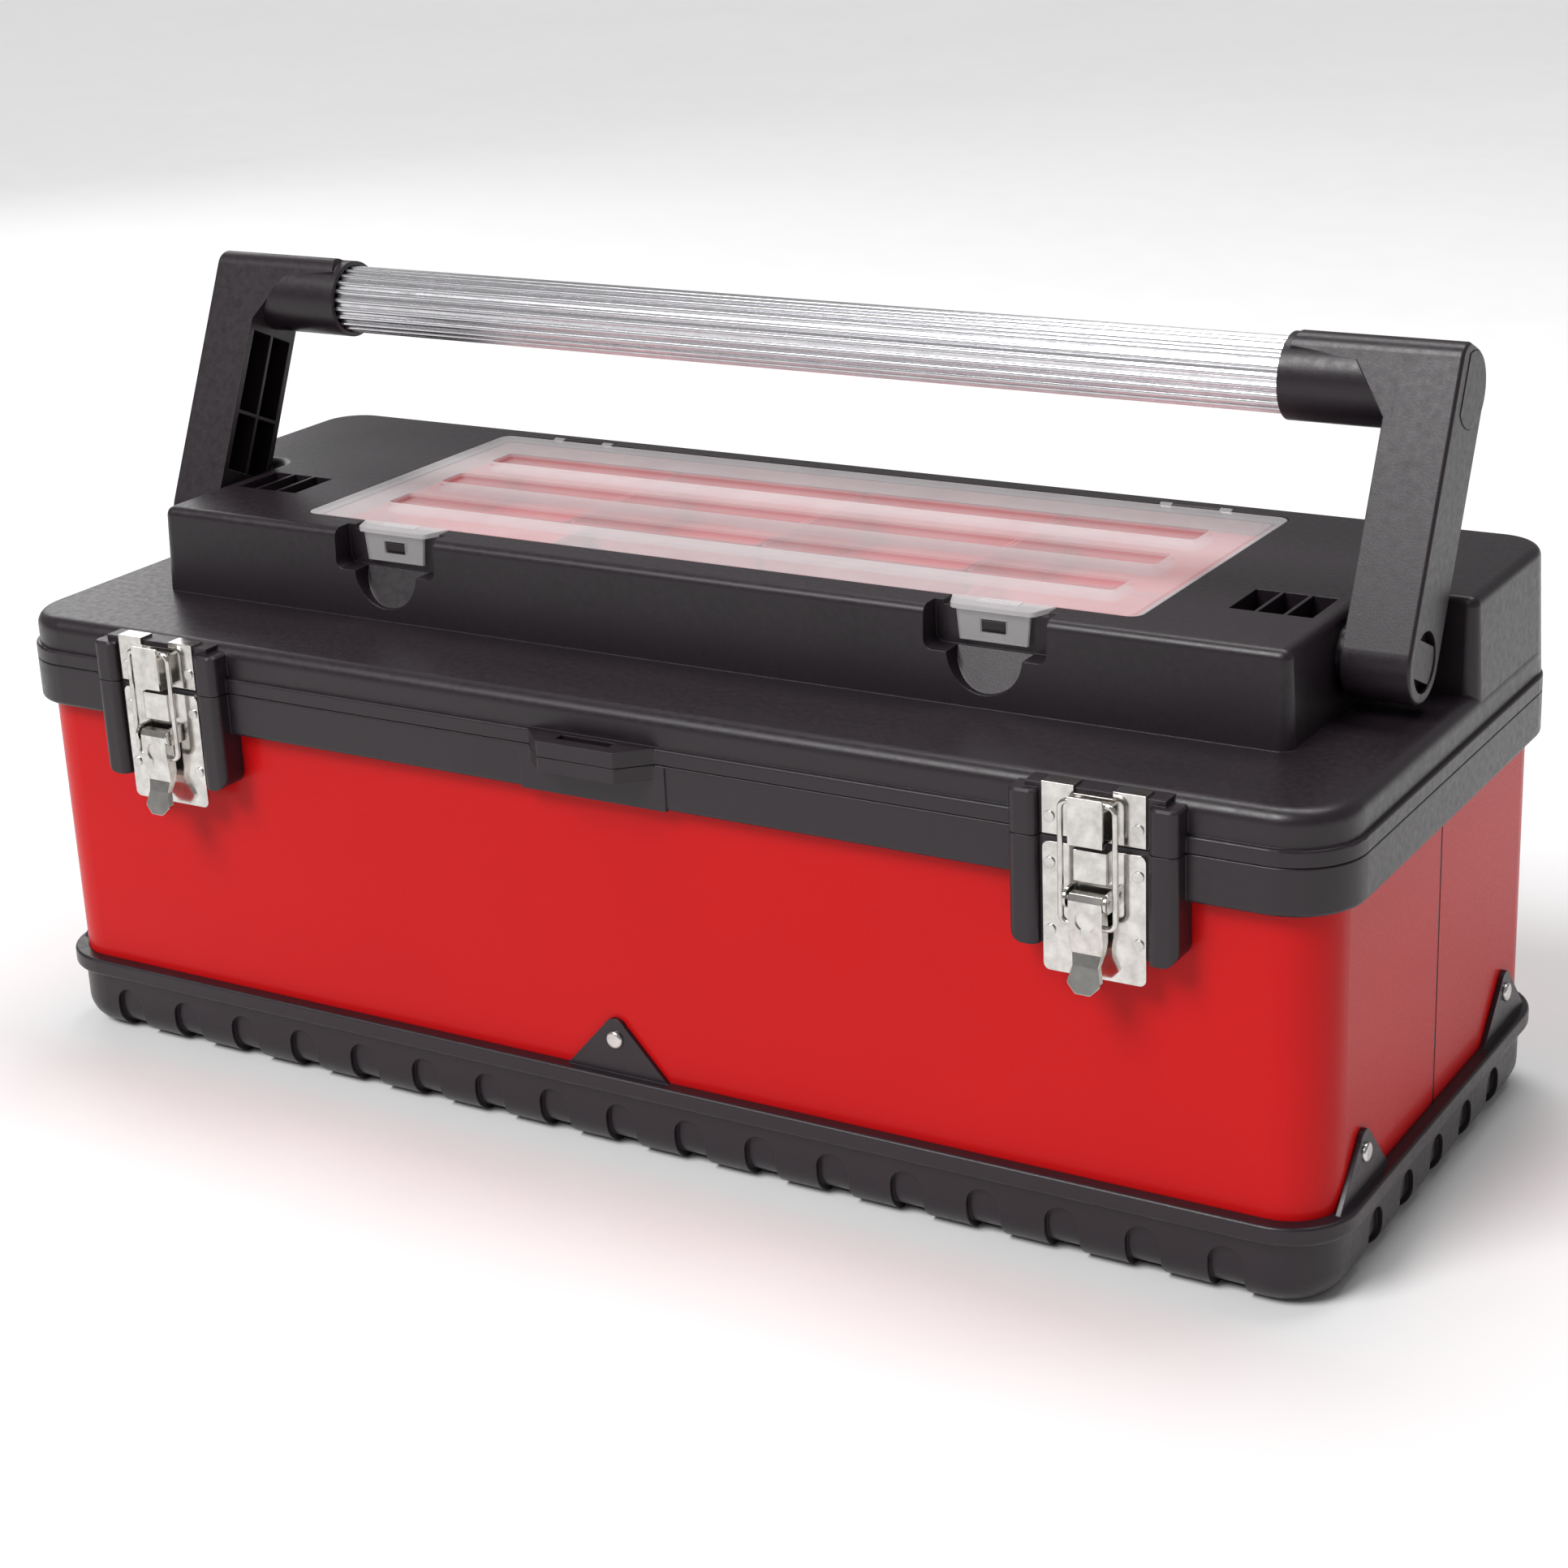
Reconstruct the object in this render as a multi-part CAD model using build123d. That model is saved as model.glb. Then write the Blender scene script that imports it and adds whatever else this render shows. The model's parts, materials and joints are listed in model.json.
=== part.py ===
from build123d import *
import os
from math import cos, pi, radians, sin

# Tool box with a lift-out tray, a bin organizer in the lid and a folding handle.
# Millimetres. +X along the length, the latched front faces -Y, +Z up.
# The origin is the centre of the flat underside.

# ---- steel body ----
BODY_LENGTH = 672.0
BODY_DEPTH = 258.0
BODY_CORNER = 24.0
SHEET = 0.8
SEAM_GAP = 2.0
SEAM_STRIP_WIDTH = 18.0
SEAM_STRIP = 1.2

# ---- moulded base ----
RIM_OUT = 7.0
RIM_TOP = 40.0
RIM_HEIGHT = 9.0
SKIRT_IN = 4.5
BASE_FILLET = 14.0
BASE_FLOOR = 5.0
BASE_WALL = 4.5
SHEET_SEAT = 28.0
NOTCH_PITCH = 37.0
NOTCH_WIDTH = 16.0
NOTCH_TOP = 24.5
NOTCH_DEEP = 2.5
EAR_WIDTH = 54.0
EAR_TOP = 67.0
EAR_TIP = 6.0
RIVET_BELOW_TIP = 10.0
EAR = 2.2
EAR_CROWN = 2.0
RIM_ROUND_LOW = 2.5
RIM_ROUND_HIGH = 1.5
END_EAR_OFFSET = 88.0
RIVET_HEAD = 8.6
RIVET_DOME = 1.8
RIVET_SHANK = 4.0
RIVET_SOFTEN = 1.44
RIVET_TAIL = 1.0

# ---- moulded collar round the mouth ----
COLLAR_BOTTOM = 174.0
COLLAR_HEIGHT = 20.6
COLLAR_OUT = 6.5
COLLAR_TOP_PLATE = 4.2
COLLAR_WALL = 2.5
COLLAR_ROUND_LOW = 2.0
COLLAR_ROUND_HIGH = 0.8
LEDGE = 2.6
LEDGE_REACH = 8.4
LEDGE_DROP = 23.6

# ---- lid ----
PARTING = 0.4
FLANGE = 7.0
FLANGE_STEP = 2.0
SHELF_HEIGHT = 22.0
RAISED_HEIGHT = 64.0
LID_WALL = 2.6
LID_DRAFT = 2.5
SHELF_DEPTH = 62.0
ARM_BAY = 43.5
ARM_BAY_BACK = 107.5
SHELF_FILLET = 6.5
RAISED_FILLET = 4.5
REAR_CORNER = 24.0
SMALL_CORNER = 7.0
FLANGE_ROUND = 1.2
BOSS_MARGIN = 3.0
BOSS_ROOT = 1.5

# ---- latches ----
LATCH_FROM_END = 93.5
HOUSING_MARGIN = 1.5
HOUSING_DROP = 46.6
CHEEK_WIDTH = 13.0
CHEEK_FRONT = 8.5
CHEEK_ROUND = 4.0
CHEEK_BELOW_KEEPER = 2.5
CHEEK_CHAMFER = 1.0
HOUSING_CORNER = 7.0
BACKING = 4.0
LATCH_PLATE = 1.2
LATCH_PLATE_WIDTH = 45.0
LATCH_PLATE_HEIGHT = 55.6
LATCH_PLATE_DROP = 2.0
LATCH_PLATE_CORNER = 3.0
LATCH_EAR = 4.2
EAR_SIDE_GAP = 0.7
BRIDGE_OUT = 5.2
BRIDGE_OVER_PIVOT = 7.0
BRIDGE_ROUND = 1.0
LATCH_RIVET = 3.0
LATCH_RIVET_HEAD = 4.8
LATCH_RIVET_HEAD_THICK = 0.7
LATCH_RIVET_TAIL = 0.8
LATCH_RIVET_SEAT = 1.0
LATCH_RIVET_INSET = 3.2
LATCH_RIVET_DROP = 9.0
LATCH_RIVET_SPACING = 29.0
KEEPER_RISE = 0.8
KEEPER_BELOW_SHELF = 0.5
KEEPER_RIVET_DROP = 3.0
KEEPER_WING = 7.0
KEEPER_NOTCH = 2.0
KEEPER_NOTCH_SIDE = 1.0
HOOK_LIP_DROP = 0.6
HOOK_DROP = 4.8
TONGUE_WIDTH = 15.0
LEVER_PIVOT_DROP = 22.1
LEVER_PIVOT_OUT = 6.5
BAIL_DROP = 11.0
BAIL_WIRE = 2.5
BAIL_HALF = 11.9
BAIL_BEND = 3.4
BAIL_FOOT = 2.6
LEVER_LENGTH = 38.5
LEVER_PIN = 2.4
LEVER_SPOUT = 11.0
LEVER_PINCH = 1.8
LEVER_GROOVE = 4.5
LEVER_GROOVE_FLOOR = 2.4
LEVER_GROOVE_DROP = 8.0
LEVER_GROOVE_RISE = 4.0
LEVER_FRONT = 3.2
LEVER_BACK = 2.6
LEVER_BARREL_TOP = 2.7
LEVER_BARREL_FLAT = 1.9
LEVER_BARREL_LOW = 11.0
LEVER_WAIST = 1.6
LEVER_WAIST_RISE = 5.0
LEVER_SHEET = 2.5
LEVER_FLARE = 6.0
LEVER_TIP_ROUND = 4.0
LEVER_EDGE_ROUND = 1.6
LEVER_PIN_END = 0.4

# ---- padlock hasp ----
HASP_ROOT = 33.0
HASP_TIP = 20.0
HASP_OUT = 12.5
HASP_REACH = 3.0
HASP_CORNER = 1.5
HASP_HEIGHT = 6.5
HASP_PANEL = 38.0
HASP_PANEL_RISE = 0.7
HASP_SLOT = 28.0
HASP_SLOT_WIDTH = 5.2
HASP_SLOT_OFF = 3.6

# ---- rear hinges ----
HINGE_FROM_END = 136.0
HINGE_LENGTH = 80.0
HINGE_MIDDLE = 29.0
HINGE_OUT = 5.0
HINGE_BARREL = 4.2
HINGE_PIN = 4.0

# ---- organizer in the lid ----
ORGANIZER_MARGIN = 76.5
ORGANIZER_FRONT_LAND = 21.5
ORGANIZER_BACK_LAND = 17.0
ORGANIZER_PANEL = 1.8
ORGANIZER_CORNER = 6.0
ORGANIZER_SWEEP = 1.2
WELL_DEPTH = 34.5
WELL_WALL = 2.4
WELL_INSET = 4.0
TROUGH_PITCH = 42.5
TROUGH_WIDTH = 18.0
TROUGH_DEEP = 3.0
TROUGH_END = 26.0
TROUGH_CORNER = 2.5
TROUGHS = 3
ORGANIZER_SKIRT = 6.0
ORGANIZER_PIN = 2.0
ORGANIZER_BARREL = 2.6
ORGANIZER_BARREL_PROUD = 0.6
ORGANIZER_KNUCKLE = 6.0
ORGANIZER_LUG_AHEAD = 1.5
ORGANIZER_LUG_FOOT = 2.0
ORGANIZER_HINGE_FROM_END = 48.0
ORGANIZER_HINGE_SPREAD = 15.0
CLIP_FROM_END = 62.0
CLIP_TAB_WIDTH = 49.0
CLIP_PLATE_WIDTH = 35.0
CLIP_SHOULDER = 5.0
CLIP_CORNER = 3.5
CLIP_PROUD = 0.4
CLIP_RIBS = 3
CLIP_RIB = 0.5
CLIP_RIB_PITCH = 2.2
CLIP_PLATE_HEIGHT = 15.5
CLIP_PLATE = 1.6
CLIP_REACH = 11.0
CLIP_WINDOW = 12.0
CLIP_WINDOW_HEIGHT = 6.0
CLIP_WINDOW_DROP = 4.0
CLIP_TAPER = 1.5
CLIP_RIB_INSET = 1.5
CATCH_GAP = 0.6
CATCH_BELOW = 1.4
CATCH_INSET = 0.4
CLIP_RECESS_WIDTH = 58.0
CLIP_RECESS_HEIGHT = 19.0
RECESS_CORNER = 4.0
RECESS_SKIN = 3.0
RECESS_BEHIND = 1.6
SCOOP = 18.0
SCOOP_RISE = 1.0
BIN_HEIGHT = 26.0
BIN_WALL = 1.4
BIN_CORNER = 4.0
BIN_FOOT_ROUND = 2.0
BIN_GAP = 1.0
FRONT_ROW_DEPTH = 54.0
FRONT_BIN_LEFT = 122.0
FRONT_BIN_RIGHT = 90.0
REAR_BINS = 4

# ---- bit pockets beside the organizer ----
POCKET_LENGTH = 37.0
POCKET_DEPTH = 30.0
POCKET_DEEP = 26.0
POCKET_CELLS = 3
POCKET_RIB = 1.5
POCKET_FROM_SIDE = 11.0

# ---- handle ----
PIVOT_DROP = 18.0
PIVOT_AHEAD = 34.0
HANDLE_REACH = 113.5
HANDLE_LEAN = 24.7
ARM_THICK = 29.5
ARM_GAP = 2.5
ARM_LOW = 18.0
ARM_OVER_BAR = 1.1
ARM_WALL = 3.2
ARM_WEB = 3.5
ARM_RIB = 1.8
CHANNEL_LOW = 6.0
CHANNEL_HIGH = 4.0
CHANNEL_RIB_DROP = 6.0
SOCKET_LENGTH = 48.5
SOCKET_WALL = 2.3
FACET_MOUTH = 3.0
FACET_RISE = 9.0
FACET_CORNER = 15.5
FACET_KNEE = 5.4
HEAD_CORNER = 8.0
ARM_ROUND = 1.6
BAR_RADIUS = 16.5
BAR_WALL = 3.5
BAR_RIBS = 22
BAR_RIB = 1.5
PIVOT_PIN = 7.0
PIVOT_HEAD = 9.5
PIVOT_HEAD_THICK = 2.2
HEAD_ROOM = 0.8
PIVOT_RECESS = 13.0
PIVOT_RECESS_DEEP = 4.0
PLUG_WIDTH = 16.0
CAP_INSET = 1.4
CAP_FLAT = 10.0
CAP_THICK = 1.6
CAP_PROUD = 0.3
PLUG_BELOW_FACE = 0.6

# ---- lift-out tray ----
TRAY_WALL = 2.2
TRAY_DEPTH = 34.0
TRAY_ABOVE_RIM = 14.0
TRAY_CORNER = 16.0
TRAY_DIVIDER_OFFSET = 190.0
TRAY_DIVIDER_DROP = 6.0
TRAY_SIDE_GAP = 3.0
TRAY_RIM_GAP = 2.0
TRAY_FOOT_ROUND = 5.0
TRAY_INNER_ROUND = 3.0
GRIP_LENGTH = 116.0
GRIP_WIDTH = 14.0
GRIP_THICK = 10.0
GRIP_RISE = 12.0
GRIP_ROUND = 3.5
GRIP_LEG = 14.0
GRIP_LEG_WIDTH = 10.0
GRIP_LEG_DROP = 14.0

# ---- clearances ----
SHEET_FIT = 0.2
PART_GAP = 0.3
RUNNING_FIT = 0.1
PIN_FIT = 0.05
FIT = 0.15
PAST = 2.0
ROOT = 1.0
NEAR = 1.0

# ---- derived places ----
BODY_X = BODY_LENGTH / 2
BODY_Y = BODY_DEPTH / 2
RIM_BOTTOM = RIM_TOP - RIM_HEIGHT
RIM_X = BODY_X + RIM_OUT
RIM_Y = BODY_Y + RIM_OUT
SKIRT_X = RIM_X - SKIRT_IN
SKIRT_Y = RIM_Y - SKIRT_IN
COLLAR_TOP = COLLAR_BOTTOM + COLLAR_HEIGHT
COLLAR_X = BODY_X + COLLAR_OUT
COLLAR_Y = BODY_Y + COLLAR_OUT
COLLAR_CORNER = BODY_CORNER + COLLAR_OUT
GROOVE_TOP = COLLAR_TOP - COLLAR_TOP_PLATE
MOUTH_X = BODY_X - SHEET - SHEET_FIT - COLLAR_WALL
MOUTH_Y = BODY_Y - SHEET - SHEET_FIT - COLLAR_WALL
MOUTH_CORNER = BODY_CORNER - SHEET - SHEET_FIT - COLLAR_WALL
SHEET_TOP = GROOVE_TOP - SHEET_FIT
LEDGE_TOP = COLLAR_TOP - LEDGE_DROP
LID_BOTTOM = COLLAR_TOP + PARTING
FLANGE_TOP = LID_BOTTOM + FLANGE
SHELF_TOP = LID_BOTTOM + SHELF_HEIGHT
RAISED_TOP = LID_BOTTOM + RAISED_HEIGHT
LID_X = COLLAR_X - FLANGE_STEP
LID_Y = COLLAR_Y - FLANGE_STEP
LID_CORNER = COLLAR_CORNER - FLANGE_STEP
DRAFT_SLOPE = sin(radians(LID_DRAFT)) / cos(radians(LID_DRAFT))
RAISED_DRAFT = (RAISED_TOP - FLANGE_TOP) * DRAFT_SLOPE
RAISED_X = LID_X - ARM_BAY
RAISED_FRONT = -LID_Y + SHELF_DEPTH
STEP_Y = LID_Y - ARM_BAY_BACK
LATCH_X = BODY_X - LATCH_FROM_END
HOUSING_WIDTH = LATCH_PLATE_WIDTH + 2 * (CHEEK_WIDTH + HOUSING_MARGIN)
HOUSING_BOTTOM = COLLAR_TOP - HOUSING_DROP
LATCH_PLATE_TOP = COLLAR_TOP - LATCH_PLATE_DROP
LATCH_PLATE_BOTTOM = LATCH_PLATE_TOP - LATCH_PLATE_HEIGHT
KEEPER_BOTTOM = LID_BOTTOM + KEEPER_RISE
KEEPER_TOP = SHELF_TOP - KEEPER_BELOW_SHELF
LEVER_PIVOT_Z = COLLAR_TOP - LEVER_PIVOT_DROP
LEVER_TIP = LEVER_PIVOT_Z - LEVER_LENGTH
HOUSING_FACE = -COLLAR_Y - BACKING
CHEEK_FACE = -COLLAR_Y - CHEEK_FRONT
LEVER_PIVOT_Y = HOUSING_FACE - LEVER_PIVOT_OUT
BAIL_LOW_Z = LEVER_PIVOT_Z - BAIL_DROP
HOOK_SHELF_TOP = KEEPER_TOP - HOOK_DROP
BAIL_TOP_Z = HOOK_SHELF_TOP + BAIL_WIRE / 2 + FIT
HINGE_Y = COLLAR_Y + HINGE_OUT
HINGE_Z = (COLLAR_TOP + LID_BOTTOM) / 2
HINGE_X = BODY_X - HINGE_FROM_END
ORGANIZER_X = RAISED_X - ORGANIZER_MARGIN
ORGANIZER_FRONT = RAISED_FRONT + ORGANIZER_FRONT_LAND
ORGANIZER_BACK = LID_Y - ORGANIZER_BACK_LAND
ORGANIZER_MID = (ORGANIZER_FRONT + ORGANIZER_BACK) / 2
WELL_X = ORGANIZER_X - WELL_INSET
WELL_FRONT = ORGANIZER_FRONT + WELL_INSET
WELL_BACK = ORGANIZER_BACK - WELL_INSET
WELL_FLOOR = RAISED_TOP - WELL_DEPTH
PANEL_BOTTOM = RAISED_TOP - ORGANIZER_PANEL
ORGANIZER_AXIS_Y = ORGANIZER_BACK + ORGANIZER_BARREL + PART_GAP
ORGANIZER_AXIS_Z = RAISED_TOP - ORGANIZER_BARREL + ORGANIZER_BARREL_PROUD
ORGANIZER_HINGE_X = ORGANIZER_X - ORGANIZER_HINGE_FROM_END
CLIP_X = ORGANIZER_X - CLIP_FROM_END
CLIP_FRONT = ORGANIZER_FRONT - CLIP_REACH
RECESS_BACK = CLIP_FRONT + CLIP_PLATE + RECESS_BEHIND
RECESS_BOTTOM = RAISED_TOP - CLIP_RECESS_HEIGHT
POCKET_OUTER = RAISED_X - POCKET_FROM_SIDE
POCKET_INNER = POCKET_OUTER - POCKET_LENGTH
PIVOT_Y = STEP_Y - PIVOT_AHEAD
PIVOT_Z = RAISED_TOP - PIVOT_DROP
POCKET_BACK = PIVOT_Y + POCKET_DEPTH / 2
POCKET_FRONT = PIVOT_Y - POCKET_DEPTH / 2
POCKET_FLOOR = RAISED_TOP - POCKET_DEEP
WALL_AT_PIVOT = RAISED_X - (PIVOT_Z - FLANGE_TOP) * DRAFT_SLOPE
ARM_INNER = RAISED_X + ARM_GAP
ARM_OUTER = ARM_INNER + ARM_THICK
SOCKET_MOUTH = ARM_INNER - SOCKET_LENGTH
SOCKET_OUT = BAR_RADIUS + SOCKET_WALL
ARM_TOP = BAR_RADIUS + ARM_OVER_BAR
BAR_BORE = BAR_RADIUS - BAR_WALL
CAP_RADIUS = ARM_TOP - CAP_INSET
TRAY_RIM_X = MOUTH_X - TRAY_RIM_GAP
TRAY_RIM_Y = MOUTH_Y - TRAY_RIM_GAP
TRAY_X = MOUTH_X - LEDGE_REACH - TRAY_SIDE_GAP
TRAY_Y = MOUTH_Y - LEDGE_REACH - TRAY_SIDE_GAP
TRAY_RIM_BOTTOM = LEDGE_TOP + PART_GAP
TRAY_TOP = TRAY_RIM_BOTTOM + TRAY_ABOVE_RIM
TRAY_BOTTOM = TRAY_RIM_BOTTOM - TRAY_DEPTH
SIDES = {"left": -1, "right": 1}


# ---------------------------------------------------------------- helpers
def block(x, y, z):
    """A box between the two limits given for each axis."""
    centre = Pos((x[0] + x[1]) / 2, (y[0] + y[1]) / 2, (z[0] + z[1]) / 2)
    return centre * Box(abs(x[1] - x[0]), abs(y[1] - y[0]), abs(z[1] - z[0]))


def slab(half_x, half_y, corner, z):
    """A plate with rounded corners, centred on the origin."""
    outline = RectangleRounded(2 * half_x, 2 * half_y, corner)
    return Pos(0, 0, z[0]) * extrude(outline, z[1] - z[0])


def plate(x, y, corner, z):
    """A plate with rounded corners between two limits on each axis."""
    outline = RectangleRounded(x[1] - x[0], y[1] - y[0], corner)
    centre = Pos((x[0] + x[1]) / 2, (y[0] + y[1]) / 2, z[0])
    return centre * extrude(outline, z[1] - z[0])


def rod_x(radius, x, y, z):
    """A cylinder along X."""
    return Pos((x[0] + x[1]) / 2, y, z) * Rot(0, 90, 0) * Cylinder(radius, x[1] - x[0])


def rod_y(radius, x, y, z):
    """A cylinder along Y."""
    return Pos(x, (y[0] + y[1]) / 2, z) * Rot(90, 0, 0) * Cylinder(radius, y[1] - y[0])


def prism_x(outline, x):
    """An outline of (y, z) values, extruded along X."""
    return extrude(Plane.YZ.offset(x[0]) * outline, x[1] - x[0])


def prism_y(outline, y):
    """An outline of (x, z) values, extruded along Y."""
    return extrude(Plane.XZ.offset(-y[1]) * outline, y[1] - y[0])


def outline_of(*points):
    """A closed straight-sided outline through the given points."""
    return make_face(Polyline(*points, close=True))


def both_ends(shape):
    """The shape and its mirror image across the middle of the length."""
    return shape + mirror(shape, about=Plane.YZ)


def both_latches(shape):
    """The shape moved to each latch."""
    return Pos(-LATCH_X, 0, 0) * shape + Pos(LATCH_X, 0, 0) * shape


def combine(shapes):
    """Several shapes as one group of solids."""
    return Compound(children=[solid for shape in shapes for solid in shape.solids()])


def on_side(shape, side):
    """A right-hand shape, mirrored when the side is the left one."""
    return shape if side > 0 else mirror(shape, about=Plane.YZ)


# ---------------------------------------------------------------- base
def base_body(inset, bottom):
    """The lower part of the base: a dish with a large bottom fillet."""
    corner = BODY_CORNER + RIM_OUT - SKIRT_IN - inset
    dish = slab(SKIRT_X - inset, SKIRT_Y - inset, corner, (bottom, RIM_BOTTOM + PAST))
    return fillet(dish.faces().sort_by(Axis.Z)[0].edges(), BASE_FILLET - inset)


def notch(reach):
    """A pair of round-topped cutters, one notch wide, in two opposite base walls."""
    radius = NOTCH_WIDTH / 2
    straight = NOTCH_TOP - radius
    cutters = None
    for sign in (-1, 1):
        y = sorted((sign * (reach - BASE_FILLET), sign * (reach + PAST)))
        cutter = block((-radius, radius), y, (-PAST, straight)) + rod_y(radius, 0, y, straight)
        cutters = cutter if cutters is None else cutters + cutter
    return cutters


def notches():
    """The rows of grip notches along the four sides of the base."""
    along = int((2 * SKIRT_X - 2 * BODY_CORNER) / NOTCH_PITCH)
    across = int((2 * SKIRT_Y - 2 * BODY_CORNER) / NOTCH_PITCH)
    row = [Pos((i - (along - 1) / 2) * NOTCH_PITCH, 0, 0) for i in range(along)]
    end_row = [Pos(0, (i - (across - 1) / 2) * NOTCH_PITCH, 0) for i in range(across)]
    cutters = [place * notch(SKIRT_Y) for place in row]
    cutters += [place * Rot(0, 0, 90) * notch(SKIRT_X) for place in end_row]
    return combine(cutters)


def ear():
    """A riveted ear on the front of the base, centred on X = 0."""
    face = -BODY_Y - SHEET_FIT
    tip = EAR_TOP - EAR_TIP
    low = (-EAR_WIDTH / 2, RIM_BOTTOM + ROOT), (EAR_WIDTH / 2, RIM_BOTTOM + ROOT)
    foot = (EAR_WIDTH / 2, RIM_TOP), (-EAR_WIDTH / 2, RIM_TOP)
    crown = tip + EAR_CROWN
    shape = outline_of(low[0], low[1], foot[0], (EAR_TIP, crown), (-EAR_TIP, crown), foot[1])
    solid = prism_y(shape, (face - EAR, face))
    solid += rod_y(EAR_TIP, 0, (face - EAR, face), tip)
    return solid - rod_y(RIVET_SHANK / 2 + RUNNING_FIT, 0, (face - EAR - PAST, face + PAST), rivet_z())


def rivet_z():
    """Height of the rivets below the tips of the ears."""
    return EAR_TOP - RIVET_BELOW_TIP


def rivet():
    """A rivet through the front ear and the sheet, centred on X = 0."""
    face = -BODY_Y - SHEET_FIT - EAR
    inside = -BODY_Y + SHEET
    head = Pos(0, face, rivet_z()) * Rot(90, 0, 0) * Cylinder(
        RIVET_HEAD / 2, RIVET_DOME, align=(Align.CENTER, Align.CENTER, Align.MIN)
    )
    head = fillet(head.faces().sort_by(Axis.Y)[0].edges(), RIVET_SOFTEN)
    shank = rod_y(RIVET_SHANK / 2, 0, (face, inside), rivet_z())
    tail = rod_y(RIVET_HEAD / 2, 0, (inside, inside + RIVET_TAIL), rivet_z())
    return head + shank + tail


def ear_places():
    """Where the ears and their rivets stand: front, back and two on each end."""
    turn_out = BODY_X - BODY_Y
    places = [Pos(0, 0, 0), Rot(0, 0, 180)]
    for angle in (90, -90):
        for offset in (-END_EAR_OFFSET, END_EAR_OFFSET):
            places.append(Rot(0, 0, angle) * Pos(offset, -turn_out, 0))
    return places


def base_tray():
    """The moulded base: dish, rim, ears and the seat for the sheets."""
    base = base_body(0, 0)
    rim = slab(RIM_X, RIM_Y, BODY_CORNER + RIM_OUT, (RIM_BOTTOM, RIM_TOP))
    rim = fillet(rim.faces().sort_by(Axis.Z)[0].edges(), RIM_ROUND_LOW)
    rim = fillet(rim.faces().sort_by(Axis.Z)[-1].edges(), RIM_ROUND_HIGH)
    grooves = notches() - base_body(NOTCH_DEEP, NOTCH_DEEP)
    base = (base - grooves) + rim
    for place in ear_places():
        base += place * ear()
    seat_x = BODY_X + SHEET_FIT
    seat_y = BODY_Y + SHEET_FIT
    seat = slab(seat_x, seat_y, BODY_CORNER + SHEET_FIT, (SHEET_SEAT, EAR_TOP + PAST))
    corner = BODY_CORNER - BASE_WALL
    hollow = slab(BODY_X - BASE_WALL, BODY_Y - BASE_WALL, corner, (BASE_FLOOR, EAR_TOP))
    hollow = fillet(hollow.faces().sort_by(Axis.Z)[0].edges(), BASE_FILLET - BASE_WALL)
    return base - seat - hollow


# ---------------------------------------------------------------- steel sides
def sheet_ring():
    """The whole wrapped sheet before it is parted at the end seams."""
    span = (SHEET_SEAT + SHEET_FIT, SHEET_TOP)
    ring = slab(BODY_X, BODY_Y, BODY_CORNER, span)
    inner = BODY_CORNER - SHEET
    ring -= slab(BODY_X - SHEET, BODY_Y - SHEET, inner, (span[0] - PAST, span[1] + PAST))
    for place in ear_places():
        hole = rod_y(RIVET_SHANK / 2 + RUNNING_FIT, 0, (-BODY_Y - PAST, -BODY_Y + PAST), rivet_z())
        ring -= place * hole
    return ring


def side_sheet(side):
    """The front (-1) or rear (1) wrapped sheet, ending at the end seams."""
    far = BODY_Y + PAST
    near = SEAM_GAP / 2
    y = (near, far) if side > 0 else (-far, -near)
    keep = block((-BODY_X - PAST, BODY_X + PAST), y, (0, COLLAR_TOP))
    return sheet_ring() & keep


def seam_strip(side):
    """The T-shaped strip that backs the seam at one end, with the tongue that fills it."""
    inside = BODY_X - SHEET - FIT
    outside = BODY_X - SHEET / 4
    low = SHEET_SEAT + SHEET_FIT
    high = LEDGE_TOP - LEDGE - PART_GAP
    half = SEAM_STRIP_WIDTH / 2
    tongue = SEAM_GAP / 2 - FIT
    back = block((inside - SEAM_STRIP, inside), (-half, half), (low, high))
    fill = block((inside - SEAM_STRIP, outside), (-tongue, tongue), (low, high))
    fill += block((BODY_X - SHEET, outside), (-tongue, tongue), (low, SHEET_TOP))
    return on_side(back + fill, side)


# ---------------------------------------------------------------- collar
def cheeks(z):
    """The two upright cheeks of a latch housing, round at their front edges."""
    half = HOUSING_WIDTH / 2
    shape = None
    for sign in (-1, 1):
        x = sorted((sign * (half - CHEEK_WIDTH), sign * half))
        cheek = block(x, (CHEEK_FACE, -BODY_Y - PART_GAP), z)
        upright = cheek.edges().filter_by(Axis.Z).group_by(Axis.Y)[0]
        cheek = fillet(upright, CHEEK_ROUND)
        shape = cheek if shape is None else shape + cheek
    return shape


def collar_housing():
    """The collar's half of a latch housing, its outer lower corners rounded off."""
    half = HOUSING_WIDTH / 2
    z = (HOUSING_BOTTOM, COLLAR_TOP)
    back = block((ROOT - half, half - ROOT), (HOUSING_FACE, -BODY_Y - PART_GAP), z)
    frame = block((-half, half), (CHEEK_FACE - PAST, -BODY_Y), z)
    low = frame.edges().filter_by(Axis.Y).group_by(Axis.Z)[0]
    return (cheeks(z) + back) & fillet(low, HOUSING_CORNER)


def lid_housing():
    """The lid's half of a latch housing, with the block that the keeper wraps."""
    half = HOUSING_WIDTH / 2 - CHEEK_WIDTH / 2
    sides = cheeks((LID_BOTTOM, KEEPER_TOP - CHEEK_BELOW_KEEPER))
    top = sides.faces().filter_by(Axis.Z).group_by(Axis.Z)[-1]
    sides = chamfer(top.edges(), CHEEK_CHAMFER)
    middle = block((-half, half), (HOUSING_FACE, -BODY_Y - PART_GAP), (LID_BOTTOM, KEEPER_TOP))
    return sides + middle


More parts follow.
